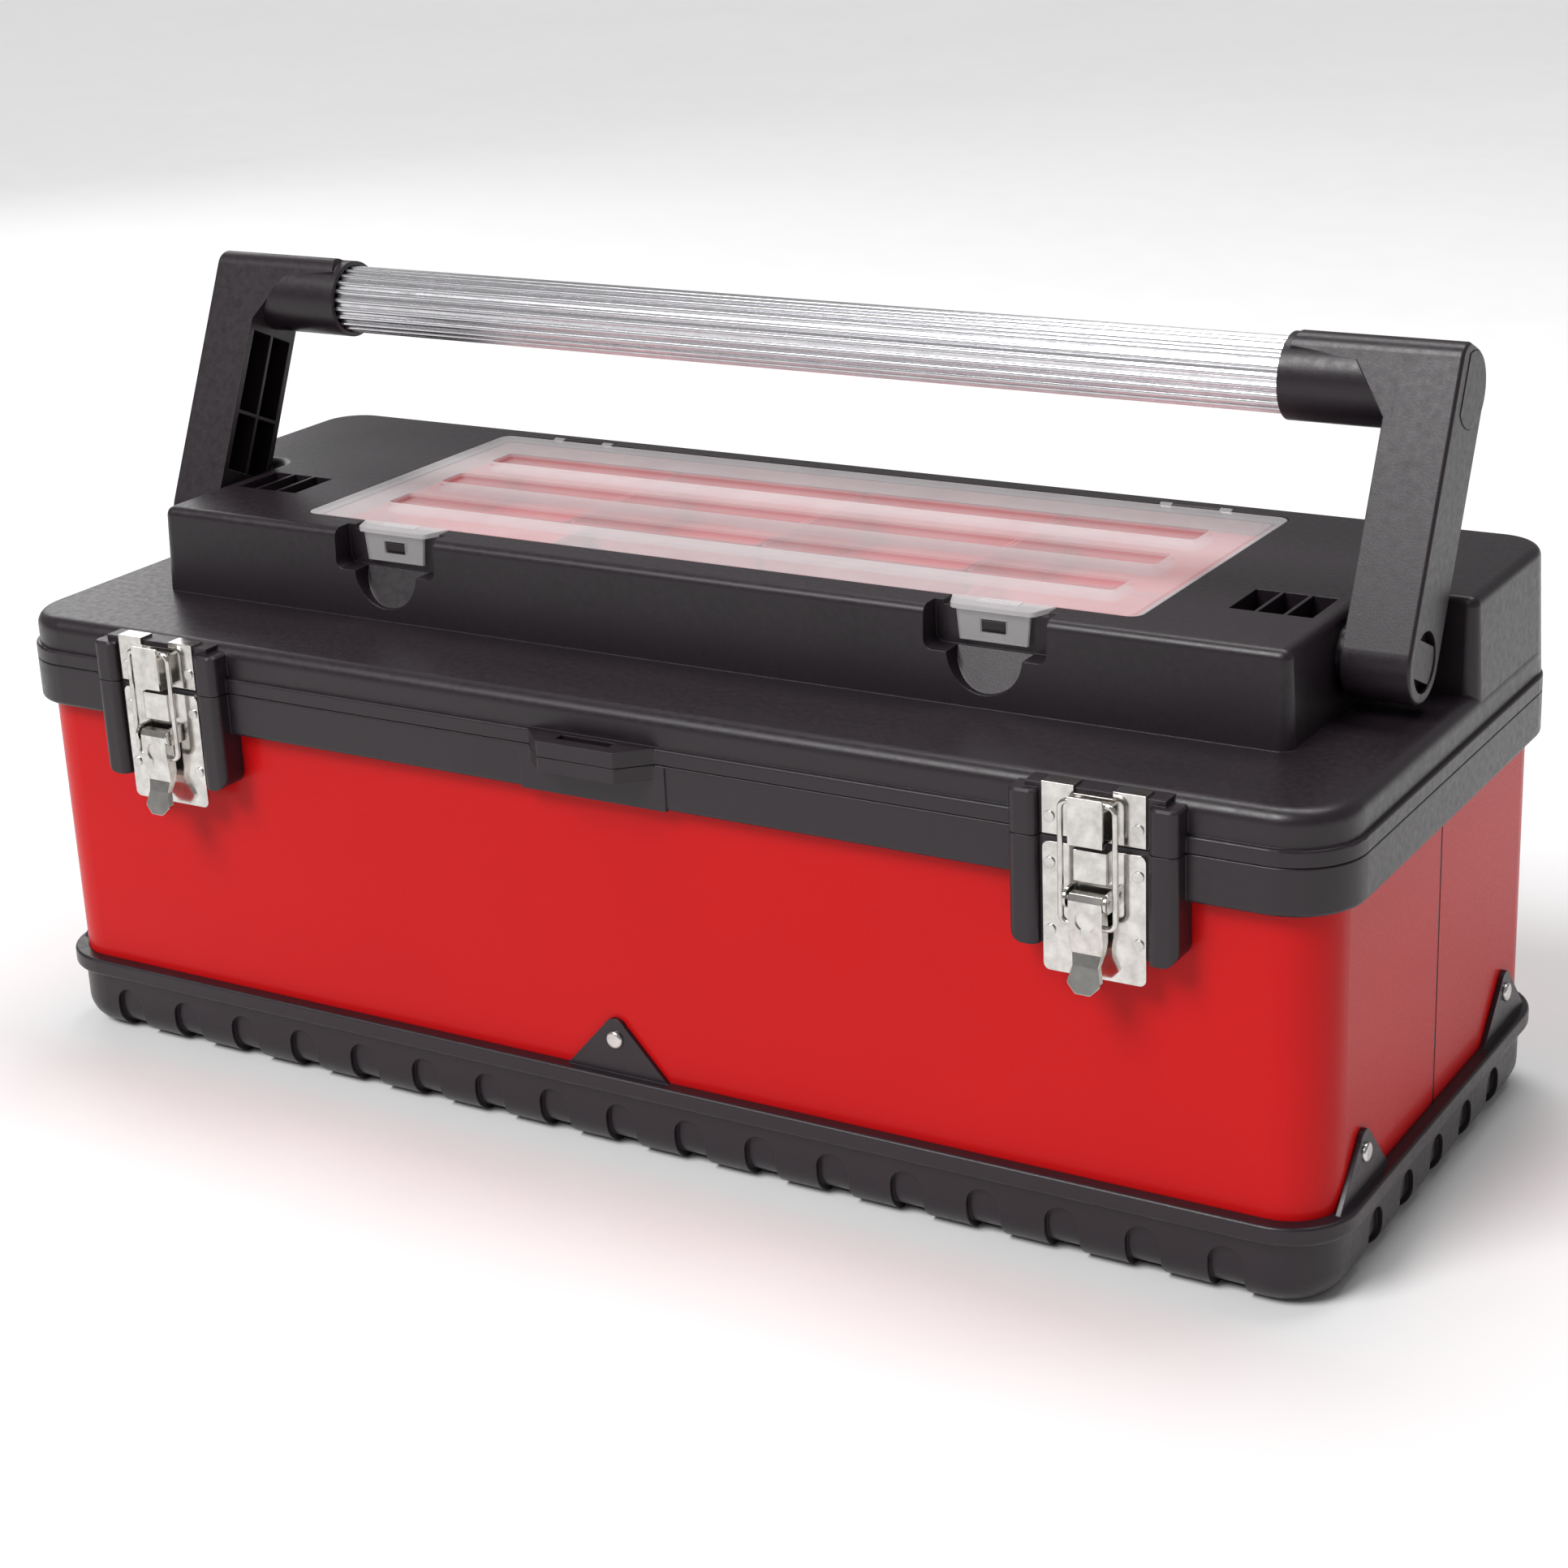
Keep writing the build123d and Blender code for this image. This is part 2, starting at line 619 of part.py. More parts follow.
def hasp(z, reach):
    """The forward-pointing hasp tab over a span of heights, rooted in the wall."""
    root = -COLLAR_Y + reach
    tip = -COLLAR_Y - HASP_OUT
    outline = outline_of((-HASP_ROOT, root), (HASP_ROOT, root), (HASP_ROOT, -COLLAR_Y),
                         (HASP_TIP, tip), (-HASP_TIP, tip), (-HASP_ROOT, -COLLAR_Y))
    tab = Pos(0, 0, z[0]) * extrude(outline, z[1] - z[0])
    fronts = [edge for edge in tab.edges().filter_by(Axis.Z) if edge.center().Y < -COLLAR_Y - NEAR]
    return fillet(fronts, HASP_CORNER)


def hasp_slot():
    """The padlock slot through both hasp tabs, close to the wall."""
    middle = -COLLAR_Y - HASP_SLOT_OFF
    half = HASP_SLOT_WIDTH / 2
    return block((-HASP_SLOT / 2, HASP_SLOT / 2), (middle - half, middle + half),
                 (COLLAR_BOTTOM, FLANGE_TOP + PAST))


def hasp_panel():
    """The faintly raised panel on the collar below the hasp."""
    return block((-HASP_PANEL, HASP_PANEL), (-COLLAR_Y - HASP_PANEL_RISE, -COLLAR_Y + ROOT),
                 (COLLAR_BOTTOM, COLLAR_TOP - HASP_PANEL_RISE))


def hinge_barrel(x, z_low, z_high):
    """A hinge knuckle on the rear hinge axis with its lug to the wall."""
    lug = block(x, (COLLAR_Y - PART_GAP, HINGE_Y), (z_low, z_high))
    knuckle = rod_x(HINGE_BARREL, x, HINGE_Y, HINGE_Z)
    return lug + knuckle


def hinge_bore(clearance):
    """The long hole for the hinge pins of one side."""
    reach = HINGE_LENGTH / 2 + PAST
    span = (HINGE_X - reach, HINGE_X + reach)
    return rod_x(HINGE_PIN / 2 + clearance, span, HINGE_Y, HINGE_Z)


def collar_hinges():
    """The two outer knuckles of each rear hinge."""
    low, high = HINGE_X - HINGE_LENGTH / 2, HINGE_X + HINGE_LENGTH / 2
    inner = (low, HINGE_X - HINGE_MIDDLE / 2 - PART_GAP)
    outer = (HINGE_X + HINGE_MIDDLE / 2 + PART_GAP, high)
    top = COLLAR_TOP - PART_GAP
    bottom = COLLAR_TOP - 2 * HINGE_BARREL
    knuckles = hinge_barrel(inner, bottom, top) + hinge_barrel(outer, bottom, top)
    return both_ends(knuckles - hinge_bore(PIN_FIT))


def collar():
    """The moulded collar: skirt, sheet groove, tray ledge, housings and hasp."""
    body = slab(COLLAR_X, COLLAR_Y, COLLAR_CORNER, (COLLAR_BOTTOM, COLLAR_TOP))
    body = fillet(body.faces().sort_by(Axis.Z)[0].edges(), COLLAR_ROUND_LOW)
    body = fillet(body.faces().sort_by(Axis.Z)[-1].edges(), COLLAR_ROUND_HIGH)
    fit = SHEET_FIT
    body -= slab(BODY_X + fit, BODY_Y + fit, BODY_CORNER + fit, (COLLAR_BOTTOM - PAST, GROOVE_TOP))
    wall_x = MOUTH_X + COLLAR_WALL
    wall_y = MOUTH_Y + COLLAR_WALL
    wall_low = LEDGE_TOP - LEDGE
    body += slab(wall_x, wall_y, MOUTH_CORNER + COLLAR_WALL, (wall_low, COLLAR_TOP - ROOT))
    body -= slab(MOUTH_X, MOUTH_Y, MOUTH_CORNER, (LEDGE_TOP, COLLAR_TOP + PAST))
    inner_x = MOUTH_X - LEDGE_REACH
    inner_y = MOUTH_Y - LEDGE_REACH
    body -= slab(inner_x, inner_y, MOUTH_CORNER - LEDGE_REACH, (wall_low - PAST, COLLAR_TOP + PAST))
    body += both_latches(collar_housing())
    body += hasp_panel() + hasp((COLLAR_TOP - HASP_HEIGHT, COLLAR_TOP), HASP_REACH)
    body -= hasp_slot()
    body += collar_hinges()
    body -= both_latches(plate_holes((-BODY_Y, HOUSING_FACE - PAST), lower_rivet_heights()))
    return body - both_latches(rivet_counterbores())


# ---------------------------------------------------------------- lid
def raised_outline(inset):
    """Plan of the raised part: narrow in front, full width behind the arms."""
    front = RAISED_FRONT + inset
    back = LID_Y - inset
    step = STEP_Y + inset
    narrow = RAISED_X - inset
    wide = LID_X - inset
    shape = outline_of((-narrow, front), (narrow, front), (narrow, step), (wide, step),
                       (wide, back), (-wide, back), (-wide, step), (-narrow, step))
    rear = shape.vertices().group_by(Axis.Y)[-1]
    shape = fillet(rear, REAR_CORNER - inset)
    others = [v for v in shape.vertices() if v.Y < step + NEAR and abs(v.X) > narrow - NEAR]
    return fillet(others, SMALL_CORNER)


def raised_body(inset, z):
    """The drafted raised part, or its inside when an inset is given."""
    return Pos(0, 0, z[0]) * extrude(raised_outline(inset), z[1] - z[0], taper=LID_DRAFT)


def lid_skin():
    """The outer surface of the lid: flange, shelf and raised part."""
    shelf = slab(LID_X, LID_Y, LID_CORNER, (LID_BOTTOM, SHELF_TOP))
    shelf = fillet(shelf.faces().sort_by(Axis.Z)[-1].edges(), SHELF_FILLET)
    flange = slab(COLLAR_X, COLLAR_Y, COLLAR_CORNER, (LID_BOTTOM, FLANGE_TOP))
    flange = fillet(flange.faces().sort_by(Axis.Z)[-1].edges(), FLANGE_ROUND)
    raised = raised_body(0, (FLANGE_TOP, RAISED_TOP))
    raised = fillet(raised.faces().sort_by(Axis.Z)[-1].edges(), RAISED_FILLET)
    return shelf + flange + raised


def lid_hollow():
    """The space under the lid's skin."""
    wall = LID_WALL
    low = slab(LID_X - wall, LID_Y - wall, LID_CORNER - wall, (LID_BOTTOM - PAST, SHELF_TOP - wall))
    high = raised_body(wall, (FLANGE_TOP, RAISED_TOP - wall))
    return low + high


def well_tub():
    """The organizer well and the clip recess backs, before they are hollowed."""
    wall = WELL_WALL
    outer = block((-WELL_X - wall, WELL_X + wall), (WELL_FRONT - wall, WELL_BACK + wall),
                  (WELL_FLOOR - wall, RAISED_TOP - ROOT))
    half = CLIP_RECESS_WIDTH / 2 + wall
    back = block((CLIP_X - half, CLIP_X + half), (RAISED_FRONT + RECESS_SKIN, WELL_FRONT),
                 (RECESS_BOTTOM - SCOOP - wall, RAISED_TOP - ROOT))
    return outer + both_ends(back)


def pocket_tub():
    """The blind tub under one set of bit pockets, before it is hollowed."""
    wall = POCKET_RIB
    return block((POCKET_INNER - wall, POCKET_OUTER + wall), (POCKET_FRONT - wall, POCKET_BACK + wall),
                 (POCKET_FLOOR - wall, RAISED_TOP - ROOT))


def pocket_cells():
    """The bit pockets of one side, a row of cells between thin ribs."""
    cell = (POCKET_LENGTH - (POCKET_CELLS - 1) * POCKET_RIB) / POCKET_CELLS
    cells = []
    for index in range(POCKET_CELLS):
        start = POCKET_INNER + index * (cell + POCKET_RIB)
        cells.append(block((start, start + cell), (POCKET_FRONT, POCKET_BACK),
                           (POCKET_FLOOR, RAISED_TOP + PAST)))
    return Compound(children=cells)


def panel_recess():
    """The shallow seat in the top that the organizer lid closes into."""
    gap = PART_GAP
    back = ORGANIZER_BACK + ORGANIZER_SWEEP
    return plate((-ORGANIZER_X - gap, ORGANIZER_X + gap), (ORGANIZER_FRONT - gap, back),
                 ORGANIZER_CORNER, (PANEL_BOTTOM - gap, RAISED_TOP + PAST))


def well_space():
    """The open inside of the organizer well."""
    return plate((-WELL_X, WELL_X), (WELL_FRONT, WELL_BACK), BIN_CORNER + BIN_GAP,
                 (WELL_FLOOR, RAISED_TOP + PAST))


def clip_recess():
    """The notch in the raised front that a clip closes into, with its finger scoop."""
    half = CLIP_RECESS_WIDTH / 2
    front = RAISED_FRONT - PAST
    notch_space = block((CLIP_X - half, CLIP_X + half), (front, RECESS_BACK),
                        (RECESS_BOTTOM, RAISED_TOP + PAST))
    lower = notch_space.edges().filter_by(Axis.Y).group_by(Axis.Z)[0]
    notch_space = fillet(lower, RECESS_CORNER)
    disc = rod_y(SCOOP, CLIP_X, (front, RECESS_BACK), RECESS_BOTTOM + SCOOP_RISE)
    high, low = RECESS_BOTTOM + PAST, RECESS_BOTTOM - SCOOP
    bowl = outline_of((front, high), (RECESS_BACK, high), (RAISED_FRONT + RECESS_SKIN, low), (front, low))
    scoop = disc & prism_x(bowl, (CLIP_X - SCOOP - PAST, CLIP_X + SCOOP + PAST))
    tab = CLIP_TAB_WIDTH / 2 + PART_GAP
    seat = block((CLIP_X - tab, CLIP_X + tab), (RECESS_BACK - ROOT, ORGANIZER_FRONT),
                 (PANEL_BOTTOM - PART_GAP, RAISED_TOP + PAST))
    return notch_space + scoop + seat


def clip_catch():
    """The catch on the recess back that holds a clip by its window."""
    half = CLIP_WINDOW / 2 - CATCH_GAP
    top = RAISED_TOP - CLIP_PLATE - CLIP_WINDOW_DROP
    return block((CLIP_X - half, CLIP_X + half), (CLIP_FRONT + CATCH_INSET, RECESS_BACK + ROOT),
                 (top - CLIP_WINDOW_HEIGHT + CATCH_BELOW, top - CATCH_GAP))


def organizer_lugs():
    """The lug between the knuckles of one organizer hinge."""
    half = ORGANIZER_HINGE_SPREAD - ORGANIZER_KNUCKLE / 2 - PART_GAP
    x = (ORGANIZER_HINGE_X - half, ORGANIZER_HINGE_X + half)
    knuckle = rod_x(ORGANIZER_BARREL, x, ORGANIZER_AXIS_Y, ORGANIZER_AXIS_Z)
    low = ORGANIZER_AXIS_Z - ORGANIZER_BARREL - ORGANIZER_LUG_FOOT
    foot = block(x, (ORGANIZER_AXIS_Y - ORGANIZER_LUG_AHEAD, ORGANIZER_AXIS_Y + ORGANIZER_BARREL),
                 (low, ORGANIZER_AXIS_Z))
    return knuckle + foot


def organizer_hinge_room():
    """The room round one organizer hinge for its knuckles to turn in."""
    half = ORGANIZER_HINGE_SPREAD + ORGANIZER_KNUCKLE / 2 + PART_GAP * 2
    x = (ORGANIZER_HINGE_X - half, ORGANIZER_HINGE_X + half)
    room = ORGANIZER_BARREL + PART_GAP * 2
    return block(x, (ORGANIZER_BACK - ROOT, ORGANIZER_AXIS_Y + room),
                 (ORGANIZER_AXIS_Z - room, RAISED_TOP + PAST))


def organizer_hinge_tub():
    """The solid corner of the lid that one organizer hinge's room is cut into."""
    half = ORGANIZER_HINGE_SPREAD + ORGANIZER_KNUCKLE / 2 + LID_WALL
    low = ORGANIZER_AXIS_Z - ORGANIZER_BARREL - PART_GAP * 2 - LID_WALL
    return block((ORGANIZER_HINGE_X - half, ORGANIZER_HINGE_X + half),
                 (WELL_BACK, ORGANIZER_AXIS_Y + ORGANIZER_BARREL + LID_WALL), (low, RAISED_TOP - ROOT))


def pivot_boss():
    """The round boss on the raised side that an arm turns against."""
    span = (WALL_AT_PIVOT - BOSS_ROOT, ARM_INNER - PART_GAP)
    return rod_x(PIVOT_HEAD + BOSS_MARGIN, span, PIVOT_Y, PIVOT_Z)


def lid_hinges():
    """The middle knuckle of each rear hinge."""
    x = (HINGE_X - HINGE_MIDDLE / 2, HINGE_X + HINGE_MIDDLE / 2)
    knuckle = hinge_barrel(x, LID_BOTTOM + PART_GAP, LID_BOTTOM + 2 * HINGE_BARREL)
    return both_ends(knuckle - hinge_bore(RUNNING_FIT))


def lid():
    """The moulded lid."""
    skin = lid_skin()
    skin += both_latches(lid_housing())
    hollow = lid_hollow() - well_tub() - both_ends(pocket_tub()) - both_ends(organizer_hinge_tub())
    body = skin - hollow
    body -= well_space()
    body -= panel_recess()
    body -= both_ends(pocket_cells())
    body -= both_ends(clip_recess())
    body += both_ends(clip_catch())
    body -= both_ends(organizer_hinge_room())
    body += both_ends(organizer_lugs())
    bore = ORGANIZER_PIN / 2 + PIN_FIT
    reach = 2 * ORGANIZER_HINGE_SPREAD
    span = (ORGANIZER_HINGE_X - reach, ORGANIZER_HINGE_X + reach)
    body -= both_ends(rod_x(bore, span, ORGANIZER_AXIS_Y, ORGANIZER_AXIS_Z))
    body += both_ends(pivot_boss())
    hole = rod_x(PIVOT_PIN + RUNNING_FIT, (POCKET_OUTER + POCKET_RIB + FIT, ARM_OUTER), PIVOT_Y, PIVOT_Z)
    body -= both_ends(hole)
    body += lid_hinges()
    body += hasp((LID_BOTTOM, FLANGE_TOP), HASP_REACH) - hasp_slot()
    return body - both_latches(plate_holes((-LID_Y + LID_WALL, HOUSING_FACE - PAST), upper_rivet_heights()))


# ---------------------------------------------------------------- latch hardware
def lower_rivet_heights():
    """Heights of the two rivets that hold a lower latch plate."""
    high = LATCH_PLATE_TOP - LATCH_RIVET_DROP
    return (high, high - LATCH_RIVET_SPACING)


def upper_rivet_heights():
    """Height of the rivet pair that holds a keeper."""
    return ((KEEPER_BOTTOM + KEEPER_TOP) / 2 - KEEPER_RIVET_DROP,)


def rivet_offsets():
    """Sideways places of a rivet pair in a latch plate."""
    inset = LATCH_PLATE_WIDTH / 2 - LATCH_RIVET_INSET
    return (-inset, inset)


def plate_holes(y, heights):
    """Rivet holes through a latch plate and what it is fastened to."""
    radius = LATCH_RIVET / 2 + RUNNING_FIT
    low, high = min(y), max(y)
    return Compound(children=[rod_y(radius, x, (low, high), z)
                              for x in rivet_offsets() for z in heights])


def rivet_counterbores():
    """Seats inside the collar for the tails of the lower plates' rivets."""
    back = -BODY_Y - PART_GAP
    radius = LATCH_RIVET_HEAD / 2 + RUNNING_FIT
    return combine([rod_y(radius, x, (back - LATCH_RIVET_SEAT, back + PART_GAP), z)
                    for x in rivet_offsets() for z in lower_rivet_heights()])


def plate_rivets(back, heights):
    """The small flat rivets of one latch plate, through to the back face."""
    face = HOUSING_FACE - LATCH_PLATE
    shapes = []
    for x in rivet_offsets():
        for z in heights:
            shank = rod_y(LATCH_RIVET / 2, x, (face, back), z)
            head = rod_y(LATCH_RIVET_HEAD / 2, x, (face - LATCH_RIVET_HEAD_THICK, face), z)
            tail = rod_y(LATCH_RIVET_HEAD / 2, x, (back, back + LATCH_RIVET_TAIL), z)
            shapes.append(shank + head + tail)
    return shapes


def latch_plate():
    """The lower plate: a flat back, a raised bridge and two pivot ears."""
    half = LATCH_PLATE_WIDTH / 2
    face = HOUSING_FACE
    outline = Pos(0, (LATCH_PLATE_BOTTOM + LATCH_PLATE_TOP) / 2) * RectangleRounded(
        LATCH_PLATE_WIDTH, LATCH_PLATE_TOP - LATCH_PLATE_BOTTOM, LATCH_PLATE_CORNER)
    shape = prism_y(outline, (face - LATCH_PLATE, face))
    tongue = TONGUE_WIDTH / 2
    bridge = block((-tongue, tongue), (face - BRIDGE_OUT, face - LATCH_PLATE),
                   (LEVER_PIVOT_Z + BRIDGE_OVER_PIVOT, LATCH_PLATE_TOP))
    shape += fillet(bridge.edges().filter_by(Axis.Z).group_by(Axis.Y)[0], BRIDGE_ROUND)
    gap = tongue + EAR_SIDE_GAP
    for sign in (-1, 1):
        x = sorted((sign * gap, sign * (gap + LATCH_PLATE)))
        cheek = block(x, (LEVER_PIVOT_Y, face - LATCH_PLATE),
                      (LEVER_PIVOT_Z - LATCH_EAR, LEVER_PIVOT_Z + LATCH_EAR))
        shape += cheek
        past = LATCH_EAR + PAST
        keep = block(x, (LEVER_PIVOT_Y - past, face - LATCH_PLATE),
                     (LEVER_PIVOT_Z - past, LEVER_PIVOT_Z + past))
        shape += rod_x(LATCH_EAR, x, LEVER_PIVOT_Y, LEVER_PIVOT_Z) & keep
    shape -= rod_x(LEVER_PIN / 2 + PIN_FIT, (-half, half), LEVER_PIVOT_Y, LEVER_PIVOT_Z)
    return shape - plate_holes((face - LATCH_PLATE - PAST, face + PAST), lower_rivet_heights())


def lever_pin():
    """The pin that the lever turns on, standing a little out of both ears."""
    half = TONGUE_WIDTH / 2 + EAR_SIDE_GAP + LATCH_PLATE + LEVER_PIN_END
    return rod_x(LEVER_PIN / 2, (-half, half), LEVER_PIVOT_Y, LEVER_PIVOT_Z)


def lever_profile():
    """Side outline of the lever: barrel, channel, waist and flared spout."""
    y, z = LEVER_PIVOT_Y, LEVER_PIVOT_Z
    front, back = y - LEVER_FRONT, y + LEVER_BACK
    top = z + LEVER_BARREL_TOP
    neck = LEVER_TIP + LEVER_SPOUT
    waist = (y - LEVER_WAIST, neck + LEVER_WAIST_RISE)
    flare = y - LEVER_FLARE
    return outline_of((y + LEVER_BARREL_FLAT, top), (y - LEVER_BARREL_FLAT, top), (front, z),
                      (front, z - LEVER_BARREL_LOW), waist, (front, neck), (flare, LEVER_TIP),
                      (flare + LEVER_SHEET, LEVER_TIP), (front + LEVER_FRONT, neck),
                      (back, waist[1]), (back, z - LEVER_BARREL_LOW))


def lever_plan():
    """Front outline of the lever: straight, pinched above the spout, round below."""
    half = TONGUE_WIDTH / 2 - FIT
    high = LEVER_PIVOT_Z + LEVER_BARREL_TOP + PAST
    neck = LEVER_TIP + LEVER_SPOUT
    shoulder = neck + 2 * LEVER_WAIST_RISE
    pinch = half - LEVER_PINCH
    outline = outline_of((-half, high), (half, high), (half, shoulder), (pinch, neck),
                         (half, LEVER_TIP + LEVER_TIP_ROUND), (half - LEVER_TIP_ROUND, LEVER_TIP),
                         (LEVER_TIP_ROUND - half, LEVER_TIP), (-half, LEVER_TIP + LEVER_TIP_ROUND),
                         (-pinch, neck), (-half, shoulder))
    corners = [v for v in outline.vertices() if v.Y < shoulder + NEAR]
    return fillet(corners, LEVER_EDGE_ROUND)


def latch_lever():
    """The finger lever, with a finger groove pressed down its front."""
    half = TONGUE_WIDTH / 2
    span = (LEVER_PIVOT_Y - LEVER_FLARE - PAST, LEVER_PIVOT_Y + LEVER_BACK + PAST)
    body = prism_x(lever_profile(), (-half, half)) & prism_y(lever_plan(), span)
    deep = (span[0], LEVER_PIVOT_Y - LEVER_GROOVE_FLOOR)
    high = LEVER_PIVOT_Z - LEVER_GROOVE_DROP
    body -= rod_y(LEVER_GROOVE, 0, deep, high)
    low = LEVER_TIP + LEVER_SPOUT + LEVER_GROOVE_RISE
    body -= block((-LEVER_GROOVE / 2, LEVER_GROOVE / 2), deep, (low, high))
    body -= rod_x(LEVER_PIN / 2 + RUNNING_FIT, (-half - PAST, half + PAST), LEVER_PIVOT_Y, LEVER_PIVOT_Z)
    for sign in (-1, 1):
        x = sorted((sign * (half - BAIL_FOOT - FIT), sign * (half + PAST)))
        body -= rod_x(BAIL_WIRE / 2 + RUNNING_FIT, x, LEVER_PIVOT_Y, BAIL_LOW_Z)
    return body


def bail():
    """The wire loop, from the lever's sides up and over the keeper."""
    half = BAIL_HALF
    start = TONGUE_WIDTH / 2 - BAIL_FOOT
    y = LEVER_PIVOT_Y
    path = FilletPolyline((-start, y, BAIL_LOW_Z), (-half, y, BAIL_LOW_Z), (-half, y, BAIL_TOP_Z),
                          (half, y, BAIL_TOP_Z), (half, y, BAIL_LOW_Z), (start, y, BAIL_LOW_Z),
                          radius=BAIL_BEND)
    section = Plane(origin=path @ 0, z_dir=path % 0) * Circle(BAIL_WIRE / 2)
    return sweep(section, path=path)


def keeper():
    """The upper plate: a flat back with wings over the top and the hook for the bail."""
    half = LATCH_PLATE_WIDTH / 2
    face = HOUSING_FACE
    tongue = TONGUE_WIDTH / 2
    side = tongue + KEEPER_NOTCH_SIDE
    front = face - LATCH_PLATE
    top = KEEPER_TOP + LATCH_PLATE
    shape = block((-half, half), (front, face), (KEEPER_BOTTOM, top))
    shape -= block((-side, side), (front - PAST, face + PAST), (KEEPER_TOP - KEEPER_NOTCH, top + PAST))
    for sign in (-1, 1):
        x = sorted((sign * side, sign * half))
        shape += block(x, (front, face + KEEPER_WING), (KEEPER_TOP, top))
    lip = LEVER_PIVOT_Y - BAIL_WIRE / 2 - PART_GAP
    across = (-tongue, tongue)
    shape += block(across, (lip - LATCH_PLATE, lip), (KEEPER_BOTTOM, KEEPER_TOP - HOOK_LIP_DROP))
    shape += block(across, (lip, front), (HOOK_SHELF_TOP - LATCH_PLATE, HOOK_SHELF_TOP))
    shape += block(across, (lip, front), (KEEPER_BOTTOM, KEEPER_BOTTOM + LATCH_PLATE))
    return shape - plate_holes((front - PAST, face + PAST), upper_rivet_heights())


def hinge_pin(side):
    """The pin of one rear hinge."""
    half = HINGE_LENGTH / 2
    pin = rod_x(HINGE_PIN / 2, (HINGE_X - half, HINGE_X + half), HINGE_Y, HINGE_Z)
    return on_side(pin, side)


# ---------------------------------------------------------------- organizer
def trough(y):
    """One long shallow trough pressed down into the organizer lid, as a cutter."""
    half = ORGANIZER_X - TROUGH_END
    return plate((-half, half), (y - TROUGH_WIDTH / 2, y + TROUGH_WIDTH / 2), TROUGH_CORNER,
                 (RAISED_TOP - TROUGH_DEEP, RAISED_TOP + PAST))


def trough_under(y):
    """The underside of a trough, a wall thicker all round."""
    half = ORGANIZER_X - TROUGH_END + ORGANIZER_PANEL
    reach = TROUGH_WIDTH / 2 + ORGANIZER_PANEL
    return plate((-half, half), (y - reach, y + reach), TROUGH_CORNER + ORGANIZER_PANEL,
                 (RAISED_TOP - TROUGH_DEEP - ORGANIZER_PANEL, RAISED_TOP - ORGANIZER_PANEL / 2))


def organizer_knuckles():
    """The two knuckles of one organizer hinge, tied to the lid's rear edge."""
    shape = None
    for sign in (-1, 1):
        middle = ORGANIZER_HINGE_X + sign * ORGANIZER_HINGE_SPREAD
        x = (middle - ORGANIZER_KNUCKLE / 2, middle + ORGANIZER_KNUCKLE / 2)
        piece = rod_x(ORGANIZER_BARREL, x, ORGANIZER_AXIS_Y, ORGANIZER_AXIS_Z)
        piece += block(x, (ORGANIZER_BACK - ROOT, ORGANIZER_AXIS_Y), (PANEL_BOTTOM, RAISED_TOP))
        shape = piece if shape is None else shape + piece
    reach = 2 * ORGANIZER_HINGE_SPREAD
    span = (ORGANIZER_HINGE_X - reach, ORGANIZER_HINGE_X + reach)
    return shape - rod_x(ORGANIZER_PIN / 2 + RUNNING_FIT, span, ORGANIZER_AXIS_Y, ORGANIZER_AXIS_Z)


def organizer_lid():
    """The milky organizer lid with its troughs, skirt and hinge knuckles."""
    body = plate((-ORGANIZER_X, ORGANIZER_X), (ORGANIZER_FRONT, ORGANIZER_BACK), ORGANIZER_CORNER,
                 (PANEL_BOTTOM, RAISED_TOP))
    places = [ORGANIZER_MID + (i - (TROUGHS - 1) / 2) * TROUGH_PITCH for i in range(TROUGHS)]
    for y in places:
        body += trough_under(y)
    for y in places:
        body -= trough(y)
    gap = PART_GAP * 2
    x = WELL_X - gap
    y = (WELL_FRONT + gap, WELL_BACK - gap)
    skirt = plate((-x, x), y, BIN_CORNER, (PANEL_BOTTOM - ORGANIZER_SKIRT, PANEL_BOTTOM + FIT))
    wall = ORGANIZER_PANEL
    skirt -= plate((-x + wall, x - wall), (y[0] + wall, y[1] - wall), BIN_CORNER - wall,
                   (PANEL_BOTTOM - ORGANIZER_SKIRT - PAST, RAISED_TOP))
    body += skirt
    return body + both_ends(organizer_knuckles())


def organizer_pin(side):
    """The pin of one organizer hinge."""
    half = ORGANIZER_HINGE_SPREAD + ORGANIZER_KNUCKLE / 2
    span = (ORGANIZER_HINGE_X - half, ORGANIZER_HINGE_X + half)
    return on_side(rod_x(ORGANIZER_PIN / 2, span, ORGANIZER_AXIS_Y, ORGANIZER_AXIS_Z), side)


def clip_tab():
    """The tab of a clip, widening to its hinge line, with rounded front corners."""
    wide = CLIP_TAB_WIDTH / 2
    narrow = wide - CLIP_SHOULDER
    front, back = CLIP_FRONT - CLIP_PLATE, ORGANIZER_FRONT - PART_GAP
    outline = outline_of((CLIP_X - narrow, front), (CLIP_X + narrow, front), (CLIP_X + wide, back),
                         (CLIP_X - wide, back))
    corners = outline.vertices().group_by(Axis.Y)[0]
    outline = fillet(corners, CLIP_CORNER)
    tab = Pos(0, 0, PANEL_BOTTOM) * extrude(outline, RAISED_TOP + CLIP_PROUD - PANEL_BOTTOM)
    for index in range(CLIP_RIBS):
        y = back - CLIP_RIB_INSET - index * CLIP_RIB_PITCH
        rib = rod_x(CLIP_RIB, (CLIP_X - narrow / 2, CLIP_X + narrow / 2), y, RAISED_TOP + CLIP_PROUD)
        tab += rib
    return tab


